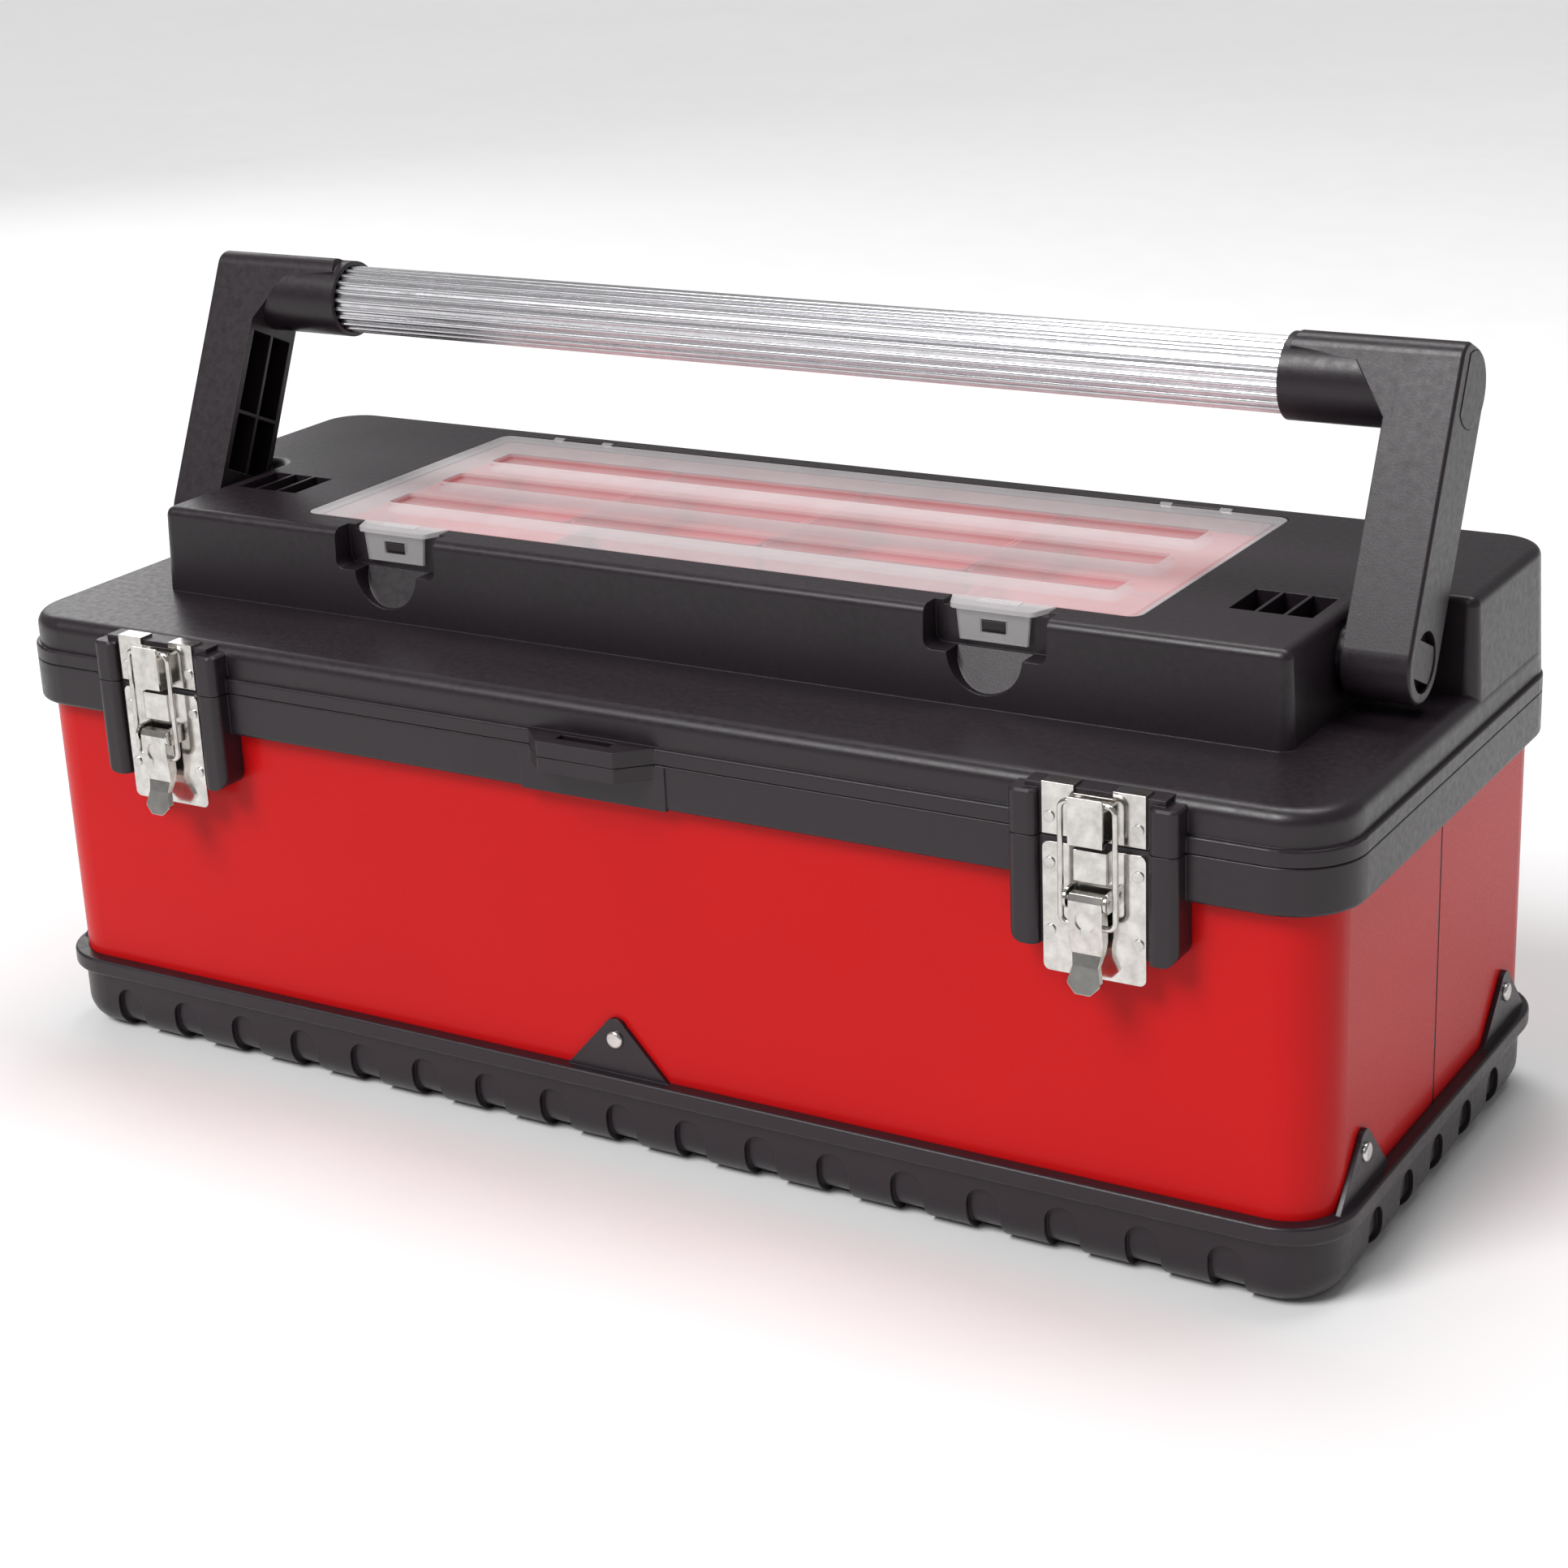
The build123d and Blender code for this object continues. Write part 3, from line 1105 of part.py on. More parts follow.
def organizer_clip(side):
    """A clip: the tab beyond the organizer lid's edge and its hanging plate."""
    wide, low = CLIP_PLATE_WIDTH / 2, RAISED_TOP - CLIP_PLATE_HEIGHT
    high = PANEL_BOTTOM + ROOT
    outline = outline_of((CLIP_X - wide, high), (CLIP_X + wide, high),
                         (CLIP_X + wide - CLIP_TAPER, low), (CLIP_X - wide + CLIP_TAPER, low))
    hanging = prism_y(outline, (CLIP_FRONT, CLIP_FRONT + CLIP_PLATE))
    top = RAISED_TOP - CLIP_PLATE - CLIP_WINDOW_DROP
    window = block((CLIP_X - CLIP_WINDOW / 2, CLIP_X + CLIP_WINDOW / 2),
                   (CLIP_FRONT - PAST, CLIP_FRONT + CLIP_PLATE + PAST), (top - CLIP_WINDOW_HEIGHT, top))
    return on_side(clip_tab() + (hanging - window), side)


def bin_tub(x, y):
    """One open bin."""
    z = (WELL_FLOOR + FIT, WELL_FLOOR + BIN_HEIGHT)
    outer = plate(x, y, BIN_CORNER, z)
    outer = fillet(outer.faces().sort_by(Axis.Z)[0].edges(), BIN_FOOT_ROUND)
    wall = BIN_WALL
    inner = plate((x[0] + wall, x[1] - wall), (y[0] + wall, y[1] - wall), BIN_CORNER - wall,
                  (z[0] + wall, z[1] + PAST))
    return outer - inner


def bins():
    """Every bin by name: two in the front row, the rest in the rear row."""
    gap = BIN_GAP
    front = (WELL_FRONT + gap, WELL_FRONT + FRONT_ROW_DEPTH)
    rear = (front[1] + gap, WELL_BACK - gap)
    left = -WELL_X + gap
    right = WELL_X - gap
    named = {
        "bin_front_left": bin_tub((left, left + FRONT_BIN_LEFT), front),
        "bin_front_right": bin_tub((right - FRONT_BIN_RIGHT, right), front),
    }
    width = (right - left + gap) / REAR_BINS
    for index in range(REAR_BINS):
        start = left + index * width
        named[f"bin_rear_{index + 1}"] = bin_tub((start, start + width - gap), rear)
    return named


# ---------------------------------------------------------------- handle
def arm_place():
    """From the arm's own frame, pivot at the origin, to the leaning rest place."""
    return Pos(0, PIVOT_Y, PIVOT_Z) * Rot(-HANDLE_LEAN, 0, 0)


def arm_profile(trim, low, high):
    """Tapering side outline of an arm between two heights, trimmed by a wall."""
    return outline_of((-ARM_LOW + trim, low), (ARM_LOW - trim, low),
                      (ARM_TOP - trim, high), (-ARM_TOP + trim, high))


def arm_channel():
    """The two ribbed pockets on the inner side of an arm, as a cutter."""
    low, high = PIVOT_RECESS + CHANNEL_LOW, HANDLE_REACH - SOCKET_OUT - CHANNEL_HIGH
    x = (ARM_INNER - PAST, ARM_OUTER - ARM_WEB)
    pocket = prism_x(arm_profile(ARM_WALL, low, high), x)
    middle = (low + high) / 2 - CHANNEL_RIB_DROP
    pocket -= block(x, (-ARM_RIB / 2, ARM_RIB / 2), (low - PAST, high + PAST))
    return pocket - block(x, (-ARM_LOW, ARM_LOW), (middle - ARM_RIB / 2, middle + ARM_RIB / 2))


def facet_outline():
    """The flat web between an arm and its socket, seen from the front."""
    top = HANDLE_REACH + ARM_TOP
    near = ARM_INNER + ARM_WEB
    return outline_of((near, top), (SOCKET_MOUTH + 2 * FACET_MOUTH, top),
                      (SOCKET_MOUTH + FACET_MOUTH, HANDLE_REACH + FACET_RISE),
                      (ARM_INNER - FACET_CORNER, HANDLE_REACH + FACET_KNEE),
                      (ARM_INNER, HANDLE_REACH - ARM_TOP), (near, HANDLE_REACH - ARM_TOP))


def arm_gusset():
    """The web that fills the corner between an arm's front face and its socket."""
    web = prism_y(facet_outline(), (-ARM_TOP, 0))
    ridge = [edge for edge in web.edges().filter_by(Axis.X)
             if edge.center().Z > HANDLE_REACH + ARM_TOP - NEAR and edge.center().Y < NEAR - ARM_TOP]
    return fillet(ridge, HEAD_CORNER)


def arm_head():
    """The upper end of an arm: square in front, round behind."""
    x = (ARM_INNER, ARM_OUTER)
    front = block(x, (-ARM_TOP, 0), (HANDLE_REACH - ROOT, HANDLE_REACH + ARM_TOP))
    corner = front.edges().filter_by(Axis.X).group_by(Axis.Y)[0].sort_by(Axis.Z)[-1]
    return fillet(corner, HEAD_CORNER) + rod_x(ARM_TOP, x, 0, HANDLE_REACH)


def cap_shape(grow, x):
    """The D-shaped cap in the arm's own frame."""
    disc = rod_x(CAP_RADIUS + grow, x, 0, HANDLE_REACH)
    far = CAP_RADIUS + PAST
    keep = block(x, (-CAP_FLAT - grow, far), (HANDLE_REACH - far, HANDLE_REACH + far))
    return disc & keep


def right_arm():
    """The right arm in its own frame."""
    body = prism_x(arm_profile(0, 0, HANDLE_REACH), (ARM_INNER, ARM_OUTER))
    body += rod_x(ARM_LOW, (ARM_INNER, ARM_OUTER), 0, 0)
    body += arm_head()
    outer = body.faces().sort_by(Axis.X)[-1].edges()
    body = fillet(outer, ARM_ROUND)
    body -= arm_channel()
    body += rod_x(SOCKET_OUT, (SOCKET_MOUTH, ARM_INNER + ARM_WEB), 0, HANDLE_REACH)
    body -= prism_y(facet_outline(), (-SOCKET_OUT - PAST, -ARM_TOP))
    body += arm_gusset()
    body -= rod_x(BAR_RADIUS + FIT, (SOCKET_MOUTH - PAST, ARM_INNER - FIT), 0, HANDLE_REACH)
    body -= rod_x(PIVOT_RECESS, (ARM_OUTER - PIVOT_RECESS_DEEP, ARM_OUTER + PAST), 0, 0)
    body -= rod_x(PIVOT_PIN + PIN_FIT, (ARM_INNER - PAST, ARM_OUTER), 0, 0)
    return body - cap_shape(FIT, (ARM_OUTER - CAP_THICK, ARM_OUTER + PAST))


def handle_arm(side):
    """A handle arm in place."""
    return on_side(arm_place() * right_arm(), side)


def arm_cap(side):
    """The D-shaped cap over the end of the bar's socket."""
    shape = cap_shape(0, (ARM_OUTER - CAP_THICK + FIT / 2, ARM_OUTER + CAP_PROUD))
    return on_side(arm_place() * shape, side)


def pivot_pin(side):
    """A pivot pin: inner head, shaft and the flat-sided plug in the outer recess."""
    inner = WALL_AT_PIVOT - LID_WALL - HEAD_ROOM - PIVOT_HEAD_THICK
    head = rod_x(PIVOT_HEAD, (inner, inner + PIVOT_HEAD_THICK), 0, 0)
    shaft = rod_x(PIVOT_PIN, (inner, ARM_OUTER - PIVOT_RECESS_DEEP + FIT), 0, 0)
    x = (ARM_OUTER - PIVOT_RECESS_DEEP + FIT / 2, ARM_OUTER - PLUG_BELOW_FACE)
    plug = rod_x(PIVOT_RECESS - FIT, x, 0, 0)
    plug &= block(x, (-PIVOT_RECESS, PIVOT_RECESS), (-PLUG_WIDTH / 2, PLUG_WIDTH / 2))
    return on_side(arm_place() * (head + shaft + plug), side)


def handle_bar():
    """The ribbed aluminium tube between the two sockets."""
    end = ARM_INNER - FIT * 2
    core = BAR_RADIUS - BAR_RIB
    outline = Circle(core)
    for index in range(BAR_RIBS):
        angle = 2 * pi * index / BAR_RIBS
        outline += Pos(core * cos(angle), core * sin(angle)) * Circle(BAR_RIB)
    outline -= Circle(BAR_BORE)
    tube = extrude(Plane.YZ.offset(-end) * Pos(0, HANDLE_REACH) * outline, 2 * end)
    return arm_place() * tube


# ---------------------------------------------------------------- tray
def lift_out_tray():
    """The lift-out tray: a tub hung from its rim, with three walls across."""
    rim_top = TRAY_RIM_BOTTOM + TRAY_WALL
    rim = slab(TRAY_RIM_X, TRAY_RIM_Y, MOUTH_CORNER - TRAY_RIM_GAP, (TRAY_RIM_BOTTOM, rim_top))
    tub = slab(TRAY_X, TRAY_Y, TRAY_CORNER - TRAY_WALL, (TRAY_BOTTOM, TRAY_TOP))
    tub = fillet(tub.faces().sort_by(Axis.Z)[0].edges(), TRAY_FOOT_ROUND)
    hollow = slab(TRAY_X - TRAY_WALL, TRAY_Y - TRAY_WALL, TRAY_CORNER - 2 * TRAY_WALL,
                  (TRAY_BOTTOM + TRAY_WALL, TRAY_TOP + PAST))
    hollow = fillet(hollow.faces().sort_by(Axis.Z)[0].edges(), TRAY_INNER_ROUND)
    half = TRAY_WALL / 2
    low = TRAY_BOTTOM + TRAY_WALL / 2
    spine = block((ROOT - TRAY_X, TRAY_X - ROOT), (-half, half), (low, TRAY_TOP))
    cross = block((-half, half), (ROOT - TRAY_Y, TRAY_Y - ROOT), (low, TRAY_TOP - TRAY_DIVIDER_DROP))
    walls = spine + Pos(-TRAY_DIVIDER_OFFSET, 0, 0) * cross + Pos(TRAY_DIVIDER_OFFSET, 0, 0) * cross
    return (rim + tub - hollow) + walls


def tray_handle():
    """The grip clipped over the tray's spine, on two legs."""
    half = GRIP_LENGTH / 2
    low = TRAY_TOP + GRIP_RISE
    grip = block((-half, half), (-GRIP_WIDTH / 2, GRIP_WIDTH / 2), (low, low + GRIP_THICK))
    grip = fillet(grip.edges().filter_by(Axis.X), GRIP_ROUND)
    slot = TRAY_WALL / 2 + FIT
    shape = grip
    for sign in (-1, 1):
        x = sorted((sign * half, sign * (half - GRIP_LEG)))
        leg = block(x, (-GRIP_LEG_WIDTH / 2, GRIP_LEG_WIDTH / 2), (TRAY_TOP - GRIP_LEG_DROP, low + ROOT))
        leg -= block((x[0] - PAST, x[1] + PAST), (-slot, slot),
                     (TRAY_TOP - GRIP_LEG_DROP - PAST, TRAY_TOP + FIT))
        shape += leg
    return shape


# ---------------------------------------------------------------- export
def all_parts():
    """Every node by name."""
    rivets = plate_rivets(-BODY_Y - PART_GAP - LATCH_RIVET_SEAT, lower_rivet_heights())
    upper = plate_rivets(-LID_Y + LID_WALL, upper_rivet_heights())
    parts = {
        "base_tray": base_tray(),
        "base_rivets": combine([place * rivet() for place in ear_places()]),
        "side_sheet_front": side_sheet(-1),
        "side_sheet_rear": side_sheet(1),
        "collar": collar(),
        "lid": lid(),
        "organizer_lid": organizer_lid(),
        "handle_bar": handle_bar(),
        "lift_out_tray": lift_out_tray(),
        "tray_handle": tray_handle(),
    }
    parts.update(bins())
    for name, side in SIDES.items():
        at_latch = Pos(side * LATCH_X, 0, 0)
        parts[f"seam_strip_{name}"] = seam_strip(side)
        parts[f"latch_plate_{name}"] = at_latch * latch_plate()
        parts[f"latch_rivets_{name}"] = combine([at_latch * shape for shape in rivets])
        parts[f"keeper_{name}"] = at_latch * keeper()
        parts[f"keeper_rivets_{name}"] = combine([at_latch * shape for shape in upper])
        parts[f"latch_lever_{name}"] = at_latch * latch_lever()
        parts[f"lever_pin_{name}"] = at_latch * lever_pin()
        parts[f"bail_{name}"] = at_latch * bail()
        parts[f"hinge_pin_{name}"] = hinge_pin(side)
        parts[f"organizer_clip_{name}"] = organizer_clip(side)
        parts[f"organizer_pin_{name}"] = organizer_pin(side)
        parts[f"handle_arm_{name}"] = handle_arm(side)
        parts[f"arm_cap_{name}"] = arm_cap(side)
        parts[f"pivot_pin_{name}"] = pivot_pin(side)
    return parts


def main():
    os.makedirs("parts", exist_ok=True)
    for name, shape in all_parts().items():
        export_step(shape, f"parts/{name}.step")


main()
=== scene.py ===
import json
import math

import bpy
from mathutils import Matrix, Vector


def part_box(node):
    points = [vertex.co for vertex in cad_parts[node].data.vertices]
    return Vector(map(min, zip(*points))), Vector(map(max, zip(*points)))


MM = 0.001
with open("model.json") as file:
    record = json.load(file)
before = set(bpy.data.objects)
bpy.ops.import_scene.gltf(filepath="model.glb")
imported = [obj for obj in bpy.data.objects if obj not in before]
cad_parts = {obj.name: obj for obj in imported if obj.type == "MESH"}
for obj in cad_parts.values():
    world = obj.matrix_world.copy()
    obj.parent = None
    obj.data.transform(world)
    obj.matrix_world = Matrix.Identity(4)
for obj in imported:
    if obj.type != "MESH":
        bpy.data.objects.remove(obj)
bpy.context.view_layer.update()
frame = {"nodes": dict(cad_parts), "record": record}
nodes = frame["nodes"]

# ---- camera: metres, radians, millimetres of lens ----
CAMERA_AT = Vector((0.7268, -1.1540, 0.6343))
CAMERA_AZIMUTH = 0.5533
CAMERA_ELEVATION = 0.3511
CAMERA_ROLL = -0.0445
CAMERA_LENS = 70.08
CAMERA_SENSOR = 36.0

# ---- light: levels, directions and sizes in metres ----
WORLD_LEVEL = 0.26
BACKDROP_LEVEL = 0.84
KEY_FROM = (-0.9, -2.2, 2.6)
KEY_SPREAD = math.radians(28)
KEY_LEVEL = 2.45
TOP_AT = (0.1, 0.6, 2.4)
TOP_SIZE = (2.0, 0.9)
TOP_POWER = 30
RIM_AT = (-2.2, 1.4, 1.2)
RIM_SIZE = (1.0, 1.2)
RIM_POWER = 8
LIGHT_TARGET = (0, 0, 0.2)

# ---- floor ----
FLOOR_SIZE = 60.0
FLOOR_DARK = (0.86, 0.86, 0.86)
FLOOR_LIGHT = (0.90, 0.90, 0.90)
FLOOR_MOTTLE = 0.4
FLOOR_GRAIN = 0.05

# ---- sizes of surface detail ----
BEVEL_SAMPLES = 4
MOULDED_EDGE = 0.7 * MM
MOULDED_GRAIN = 0.55 * MM
MOULDED_PITS = 0.9 * MM
MOULDED_GRAIN_DEPTH = 0.06 * MM
MOULDED_SCUFF = 3.5 * MM
# patch size of the painted edge highlight on moulded plastic
MOULDED_SHEEN_PATCH = 14 * MM
MOULDED_SINK = 45 * MM
MOULDED_SINK_DEPTH = 0.6 * MM
MOULDED_FLOW = 60 * MM
PAINT_SPECK = 1.6 * MM
PAINT_PEEL = 2.2 * MM
PAINT_PEEL_DEPTH = 0.08 * MM
PAINT_WAVE = 70 * MM
PAINT_WAVE_DEPTH = 0.8 * MM
PAINT_TONE = 90 * MM
PAINT_RUBS = (60.0, 400.0, 900.0)
METAL_MARK = 6 * MM
METAL_DENT = 9 * MM
METAL_DENT_DEPTH = 0.25 * MM
METAL_GROOVE_DEPTH = 0.05 * MM
MILKY_EDGE = 0.5 * MM
MILKY_FROST = 0.6 * MM
MILKY_FROST_DEPTH = 0.05 * MM
MILKY_SCUFF = 5 * MM
MILKY_TINT = 20 * MM
MILKY_CLOUD = 30 * MM
MILKY_STEP = 0.4 * MM
TROUGH_FLOOR_BELOW = 2.2 * MM
TROUGH_ALPHA = 0.25
PANEL_ALPHA = 0.39


# ---------------------------------------------------------------- shader helpers
class Shader:
    """A material with a Principled shader and short ways to add nodes to it."""

    def __init__(self, name):
        self.material = bpy.data.materials.new(name)
        self.material.use_nodes = True
        self.tree = self.material.node_tree
        self.main = self.tree.nodes["Principled BSDF"]
        self.coords = self.tree.nodes.new("ShaderNodeTexCoord").outputs["Object"]

    def node(self, kind, **settings):
        made = self.tree.nodes.new(kind)
        for key, value in settings.items():
            setattr(made, key, value)
        return made

    def link(self, source, target):
        self.tree.links.new(source, target)

    def constants(self, **values):
        for key, value in values.items():
            self.main.inputs[key.replace("_", " ")].default_value = value

    def stretched(self, x, y, z):
        mapping = self.node("ShaderNodeMapping")
        mapping.inputs["Scale"].default_value = (x, y, z)
        self.link(self.coords, mapping.inputs["Vector"])
        return mapping.outputs["Vector"]

    def noise(self, feature, detail=3.0, rough=0.5, vector=None):
        """Noise whose blobs are about one feature size across, in metres."""
        made = self.node("ShaderNodeTexNoise")
        made.inputs["Scale"].default_value = 1.0 / feature
        made.inputs["Detail"].default_value = detail
        made.inputs["Roughness"].default_value = rough
        self.link(vector or self.coords, made.inputs["Vector"])
        return made.outputs["Fac"]

    def cells(self, feature):
        """Voronoi distance with cells about one feature size across."""
        made = self.node("ShaderNodeTexVoronoi")
        made.inputs["Scale"].default_value = 1.0 / feature
        self.link(self.coords, made.inputs["Vector"])
        return made.outputs["Distance"]

    def spread(self, value, low, high, new_low, new_high):
        made = self.node("ShaderNodeMapRange")
        for index, number in enumerate((low, high, new_low, new_high), start=1):
            made.inputs[index].default_value = number
        self.link(value, made.inputs[0])
        return made.outputs[0]

    def mixed(self, factor, first, second):
        """A colour between two, by a factor. Either one may be a colour or a node's output."""
        made = self.node("ShaderNodeMix", data_type="RGBA")
        self.link(factor, made.inputs[0])
        for socket, colour in ((made.inputs[6], first), (made.inputs[7], second)):
            if isinstance(colour, tuple):
                socket.default_value = (*colour, 1.0)
            else:
                self.link(colour, socket)
        return made.outputs[2]

    def product(self, first, second):
        made = self.node("ShaderNodeMath", operation="MULTIPLY")
        self.link(first, made.inputs[0])
        self.link(second, made.inputs[1])
        return made.outputs[0]

    def edges(self, radius, low=0.02, high=0.25):
        """1 along outer edges, 0 on flats: the mask for painted edge highlights; and the rounded normal that
        goes with it.
        """
        bevel = self.node("ShaderNodeBevel", samples=BEVEL_SAMPLES)
        bevel.inputs["Radius"].default_value = radius
        flat = self.node("ShaderNodeNewGeometry")
        dot = self.node("ShaderNodeVectorMath", operation="DOT_PRODUCT")
        self.link(bevel.outputs[0], dot.inputs[0])
        self.link(flat.outputs["Normal"], dot.inputs[1])
        mask = self.spread(dot.outputs["Value"], 1.0 - low, 1.0 - high, 0.0, 1.0)
        return mask, bevel.outputs[0]

    def bump(self, height, strength, distance, normal=None):
        made = self.node("ShaderNodeBump")
        made.inputs["Strength"].default_value = strength
        made.inputs["Distance"].default_value = distance
        self.link(height, made.inputs["Height"])
        if normal is not None:
            self.link(normal, made.inputs["Normal"])
        return made.outputs["Normal"]

    def finish(self, colour=None, roughness=None, normal=None, alpha=None):
        sockets = (("Base Color", colour), ("Roughness", roughness), ("Normal", normal), ("Alpha", alpha))
        for name, output in sockets:
            if output is not None:
                self.link(output, self.main.inputs[name])
        return self.material


# ---------------------------------------------------------------- materials
def moulded(name, dark, light, rough_low, rough_high, grain=0.35):
    """Satin moulded plastic: fine grain, faint flow marks and a painted highlight: paler colour in patches
    along the outer edges.
    """
    s = Shader(name)
    s.constants(Specular_IOR_Level=0.5, IOR=1.47)
    mask, rounded = s.edges(MOULDED_EDGE)
    # painted highlight: outer edges are painted, in patches, a paler colour (2.2 times the light tone) that
    # stands for the sheen on rounded fillets
    edge_sheen = s.product(mask, s.spread(s.noise(MOULDED_SHEEN_PATCH, 4.0), 0.35, 0.7, 0.15, 0.7))
    flow = s.noise(MOULDED_FLOW, 3.0, 0.55)
    base = s.mixed(flow, dark, light)
    edge_sheen_colour = tuple(min(1.0, 2.2 * value + 0.02) for value in light)
    scuffs = s.spread(s.noise(MOULDED_SCUFF, 6.0, 0.65), 0.3, 0.75, rough_low, rough_high)
    height = s.product(s.noise(MOULDED_GRAIN, 2.0), s.cells(MOULDED_PITS))
    fine = s.bump(height, grain, MOULDED_GRAIN_DEPTH, rounded)
    broad = s.bump(s.noise(MOULDED_SINK, 2.0), 0.12, MOULDED_SINK_DEPTH, fine)
    return s.finish(s.mixed(edge_sheen, base, edge_sheen_colour), scuffs, broad)


def painted(name, base, deep):
    """Gloss enamel on sheet steel, with orange peel and a few fine rubs."""
    s = Shader(name)
    s.constants(Coat_Weight=0.12, Coat_Roughness=0.10, Coat_IOR=1.5, Specular_IOR_Level=0.10)
    tone = s.mixed(s.noise(PAINT_TONE, 3.0, 0.5), base, deep)
    specks = s.spread(s.noise(PAINT_SPECK, 3.0), 0.69, 0.76, 0.0, 0.35)
    colour = s.mixed(specks, tone, tuple(0.55 * value for value in deep))
    peel = s.bump(s.noise(PAINT_PEEL, 2.0), 0.10, PAINT_PEEL_DEPTH)
    sheet_wave = s.bump(s.noise(PAINT_WAVE, 1.0), 0.10, PAINT_WAVE_DEPTH, peel)
    rubs = s.noise(1.0, 4.0, 0.6, s.stretched(*PAINT_RUBS))
    return s.finish(colour, s.spread(rubs, 0.3, 0.75, 0.30, 0.42), sheet_wave)


def metal(name, base, dull, rough_low, rough_high, stretch, edge=0.35, dent=0.12, groove=0.05):
    """Bright metal with fine lines along one direction, soft handling marks and a painted highlight along the
    outer edges.
    """
    s = Shader(name)
    s.constants(Metallic=1.0, Specular_IOR_Level=0.5)
    mask, rounded = s.edges(edge * MM)
    lines = s.noise(1.0, 3.0, 0.6, s.stretched(*stretch))
    marks = s.noise(METAL_MARK, 4.0, 0.6)
    colour = s.mixed(s.spread(marks, 0.35, 0.7, 0.0, 1.0), base, dull)
    # painted highlight: outer edges are painted 8 % brighter than the base, standing for edge glints
    edge_glint_colour = s.mixed(mask, colour, tuple(min(1.0, 1.08 * value) for value in base))
    rough = s.spread(s.product(lines, marks), 0.12, 0.42, rough_low, rough_high)
    grooves = s.bump(lines, groove, METAL_GROOVE_DEPTH, rounded)
    dents = s.bump(s.noise(METAL_DENT, 2.0), dent, METAL_DENT_DEPTH, grooves)
    return s.finish(edge_glint_colour, rough, dents)


def milky(name, clear_below):
    """Frosted polypropylene, clearer below one height, where the troughs are pressed; its outer edges carry a
    painted highlight.
    """
    s = Shader(name)
    s.constants(Specular_IOR_Level=0.45, IOR=1.49, Coat_Weight=0.15, Coat_Roughness=0.25)
    height = s.node("ShaderNodeSeparateXYZ")
    s.link(s.coords, height.inputs[0])
    low, high = clear_below - MILKY_STEP, clear_below + MILKY_STEP
    thick = s.spread(height.outputs["Z"], low, high, TROUGH_ALPHA, PANEL_ALPHA)
    cloud = s.spread(s.noise(MILKY_CLOUD, 3.0), 0.3, 0.7, 0.94, 1.06)
    colour = s.mixed(s.noise(MILKY_TINT, 2.0), (0.82, 0.78, 0.80), (0.90, 0.87, 0.88))
    mask, rounded = s.edges(MILKY_EDGE)
    # painted highlight: outer edges are painted near white, standing for the sheen along the rims
    pale = s.mixed(mask, colour, (0.96, 0.94, 0.95))
    frost = s.bump(s.noise(MILKY_FROST, 2.0), 0.25, MILKY_FROST_DEPTH, rounded)
    rough = s.spread(s.noise(MILKY_SCUFF, 4.0, 0.6), 0.3, 0.7, 0.30, 0.44)
    return s.finish(pale, rough, frost, s.product(thick, cloud))


def set_material(material, names):
    """Puts a material on whole CAD nodes."""
    for name in names:
        slots = nodes[name].data.materials
        slots.clear()
        slots.append(material)


slot_of = {part["node"]: part["material_slot"] for part in frame["record"]["subparts"]}


def nodes_of(slot):
    """The nodes that the record gives one material slot."""
    return [name for name, value in slot_of.items() if value == slot]


organizer_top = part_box("organizer_lid")[1][2]
looks = {
    "black_plastic": moulded("black_plastic", (0.0125, 0.0078, 0.0112), (0.0190, 0.0130, 0.0175), 0.28, 0.44),
    "tray_plastic": moulded("tray_plastic", (0.018, 0.016, 0.018), (0.026, 0.023, 0.026), 0.42, 0.58),
    "bin_plastic": moulded("bin_plastic", (0.80, 0.070, 0.090), (0.86, 0.085, 0.110), 0.30, 0.42, 0.15),
    "red_paint": painted("red_paint", (0.58, 0.0060, 0.0070), (0.52, 0.0050, 0.0060)),
    "latch_steel": metal("latch_steel", (0.74, 0.72, 0.69), (0.52, 0.50, 0.47), 0.10, 0.22, (90, 300, 60)),
    "rivet_steel": metal("rivet_steel", (0.70, 0.69, 0.67), (0.52, 0.51, 0.50), 0.20, 0.34, (200, 200, 200)),
    "bar_aluminium": metal("bar_aluminium", (0.80, 0.79, 0.81), (0.66, 0.65, 0.68), 0.18, 0.30,
                           (3, 2600, 2600), edge=0.15, dent=0.01, groove=0.01),
    "milky_plastic": milky("milky_plastic", organizer_top - TROUGH_FLOOR_BELOW),
}
for slot, material in looks.items():
    set_material(material, nodes_of(slot))


# ---------------------------------------------------------------- floor, light, camera
def pale_floor():
    """A large pale floor with a faint mottle."""
    bpy.ops.mesh.primitive_plane_add(size=FLOOR_SIZE, location=(0, 0, 0))
    floor = bpy.context.object
    floor.name = "floor"
    s = Shader("floor_pale")
    colour = s.mixed(s.noise(FLOOR_MOTTLE, 2.0), FLOOR_DARK, FLOOR_LIGHT)
    floor.data.materials.append(s.finish(colour, s.spread(s.noise(FLOOR_GRAIN), 0.3, 0.7, 0.7, 0.85)))


def area_light(name, at, size, power):
    """A soft rectangular light aimed at the object."""
    data = bpy.data.lights.new(name, "AREA")
    data.shape = "RECTANGLE"
    data.size, data.size_y = size
    data.energy = power
    light = bpy.data.objects.new(name, data)
    light.location = at
    light.rotation_euler = (Vector(LIGHT_TARGET) - Vector(at)).to_track_quat("-Z", "Y").to_euler()
    bpy.context.collection.objects.link(light)


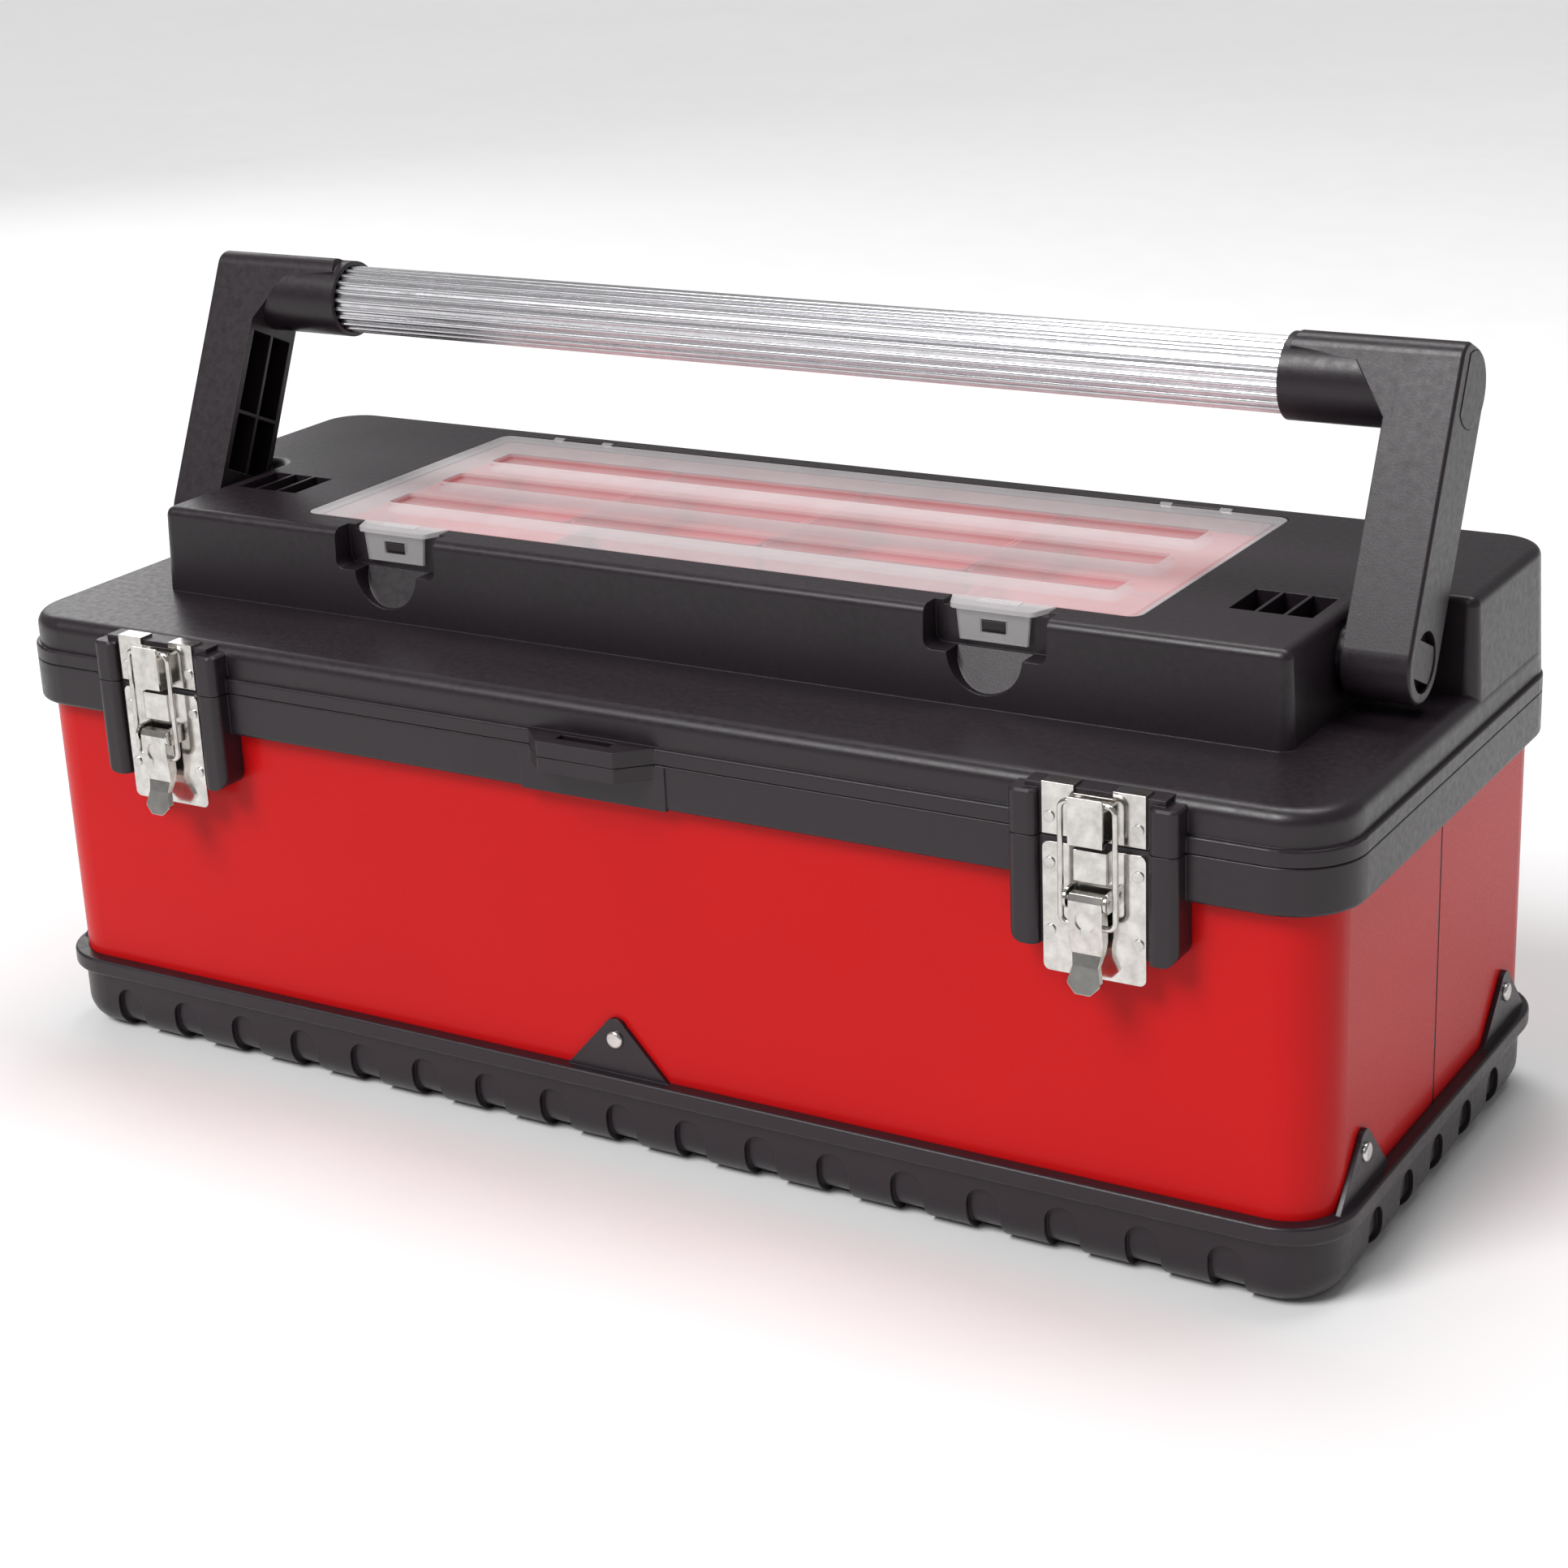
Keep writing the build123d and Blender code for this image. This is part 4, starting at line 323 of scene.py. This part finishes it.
def sun_light(name, direction, spread, level):
    """Broad even light from one side, falling everywhere alike."""
    data = bpy.data.lights.new(name, "SUN")
    data.energy = level
    data.angle = spread
    light = bpy.data.objects.new(name, data)
    light.rotation_euler = (-Vector(direction)).to_track_quat("-Z", "Y").to_euler()
    bpy.context.collection.objects.link(light)


def world_light(level, seen):
    """An even pale surrounding: one level as light, a paler one as backdrop."""
    world = bpy.data.worlds.new("studio")
    bpy.context.scene.world = world
    world.use_nodes = True
    background = world.node_tree.nodes["Background"]
    background.inputs["Color"].default_value = (1.0, 1.0, 1.0, 1.0)
    path = world.node_tree.nodes.new("ShaderNodeLightPath")
    choose = world.node_tree.nodes.new("ShaderNodeMapRange")
    choose.inputs[3].default_value = level
    choose.inputs[4].default_value = seen
    world.node_tree.links.new(path.outputs["Is Camera Ray"], choose.inputs[0])
    world.node_tree.links.new(choose.outputs[0], background.inputs["Strength"])


def camera():
    """The fixed camera, turned from azimuth, elevation and roll."""
    data = bpy.data.cameras.new("camera")
    data.lens = CAMERA_LENS
    data.sensor_width = CAMERA_SENSOR
    back = Vector((math.sin(CAMERA_AZIMUTH) * math.cos(CAMERA_ELEVATION),
                   -math.cos(CAMERA_AZIMUTH) * math.cos(CAMERA_ELEVATION),
                   math.sin(CAMERA_ELEVATION)))
    right = (-back).cross(Vector((0, 0, 1))).normalized()
    up = back.cross(right)
    turn = Matrix.Rotation(CAMERA_ROLL, 3, "Z")
    columns = Matrix((right, up, back)).transposed() @ turn
    placed = bpy.data.objects.new("camera", data)
    placed.matrix_world = Matrix.Translation(CAMERA_AT) @ columns.to_4x4()
    bpy.context.collection.objects.link(placed)
    bpy.context.scene.camera = placed


pale_floor()
world_light(WORLD_LEVEL, BACKDROP_LEVEL)
sun_light("key", KEY_FROM, KEY_SPREAD, KEY_LEVEL)
area_light("top", TOP_AT, TOP_SIZE, TOP_POWER)
area_light("rim", RIM_AT, RIM_SIZE, RIM_POWER)
camera()
scene = bpy.context.scene
scene.view_settings.view_transform = "Standard"
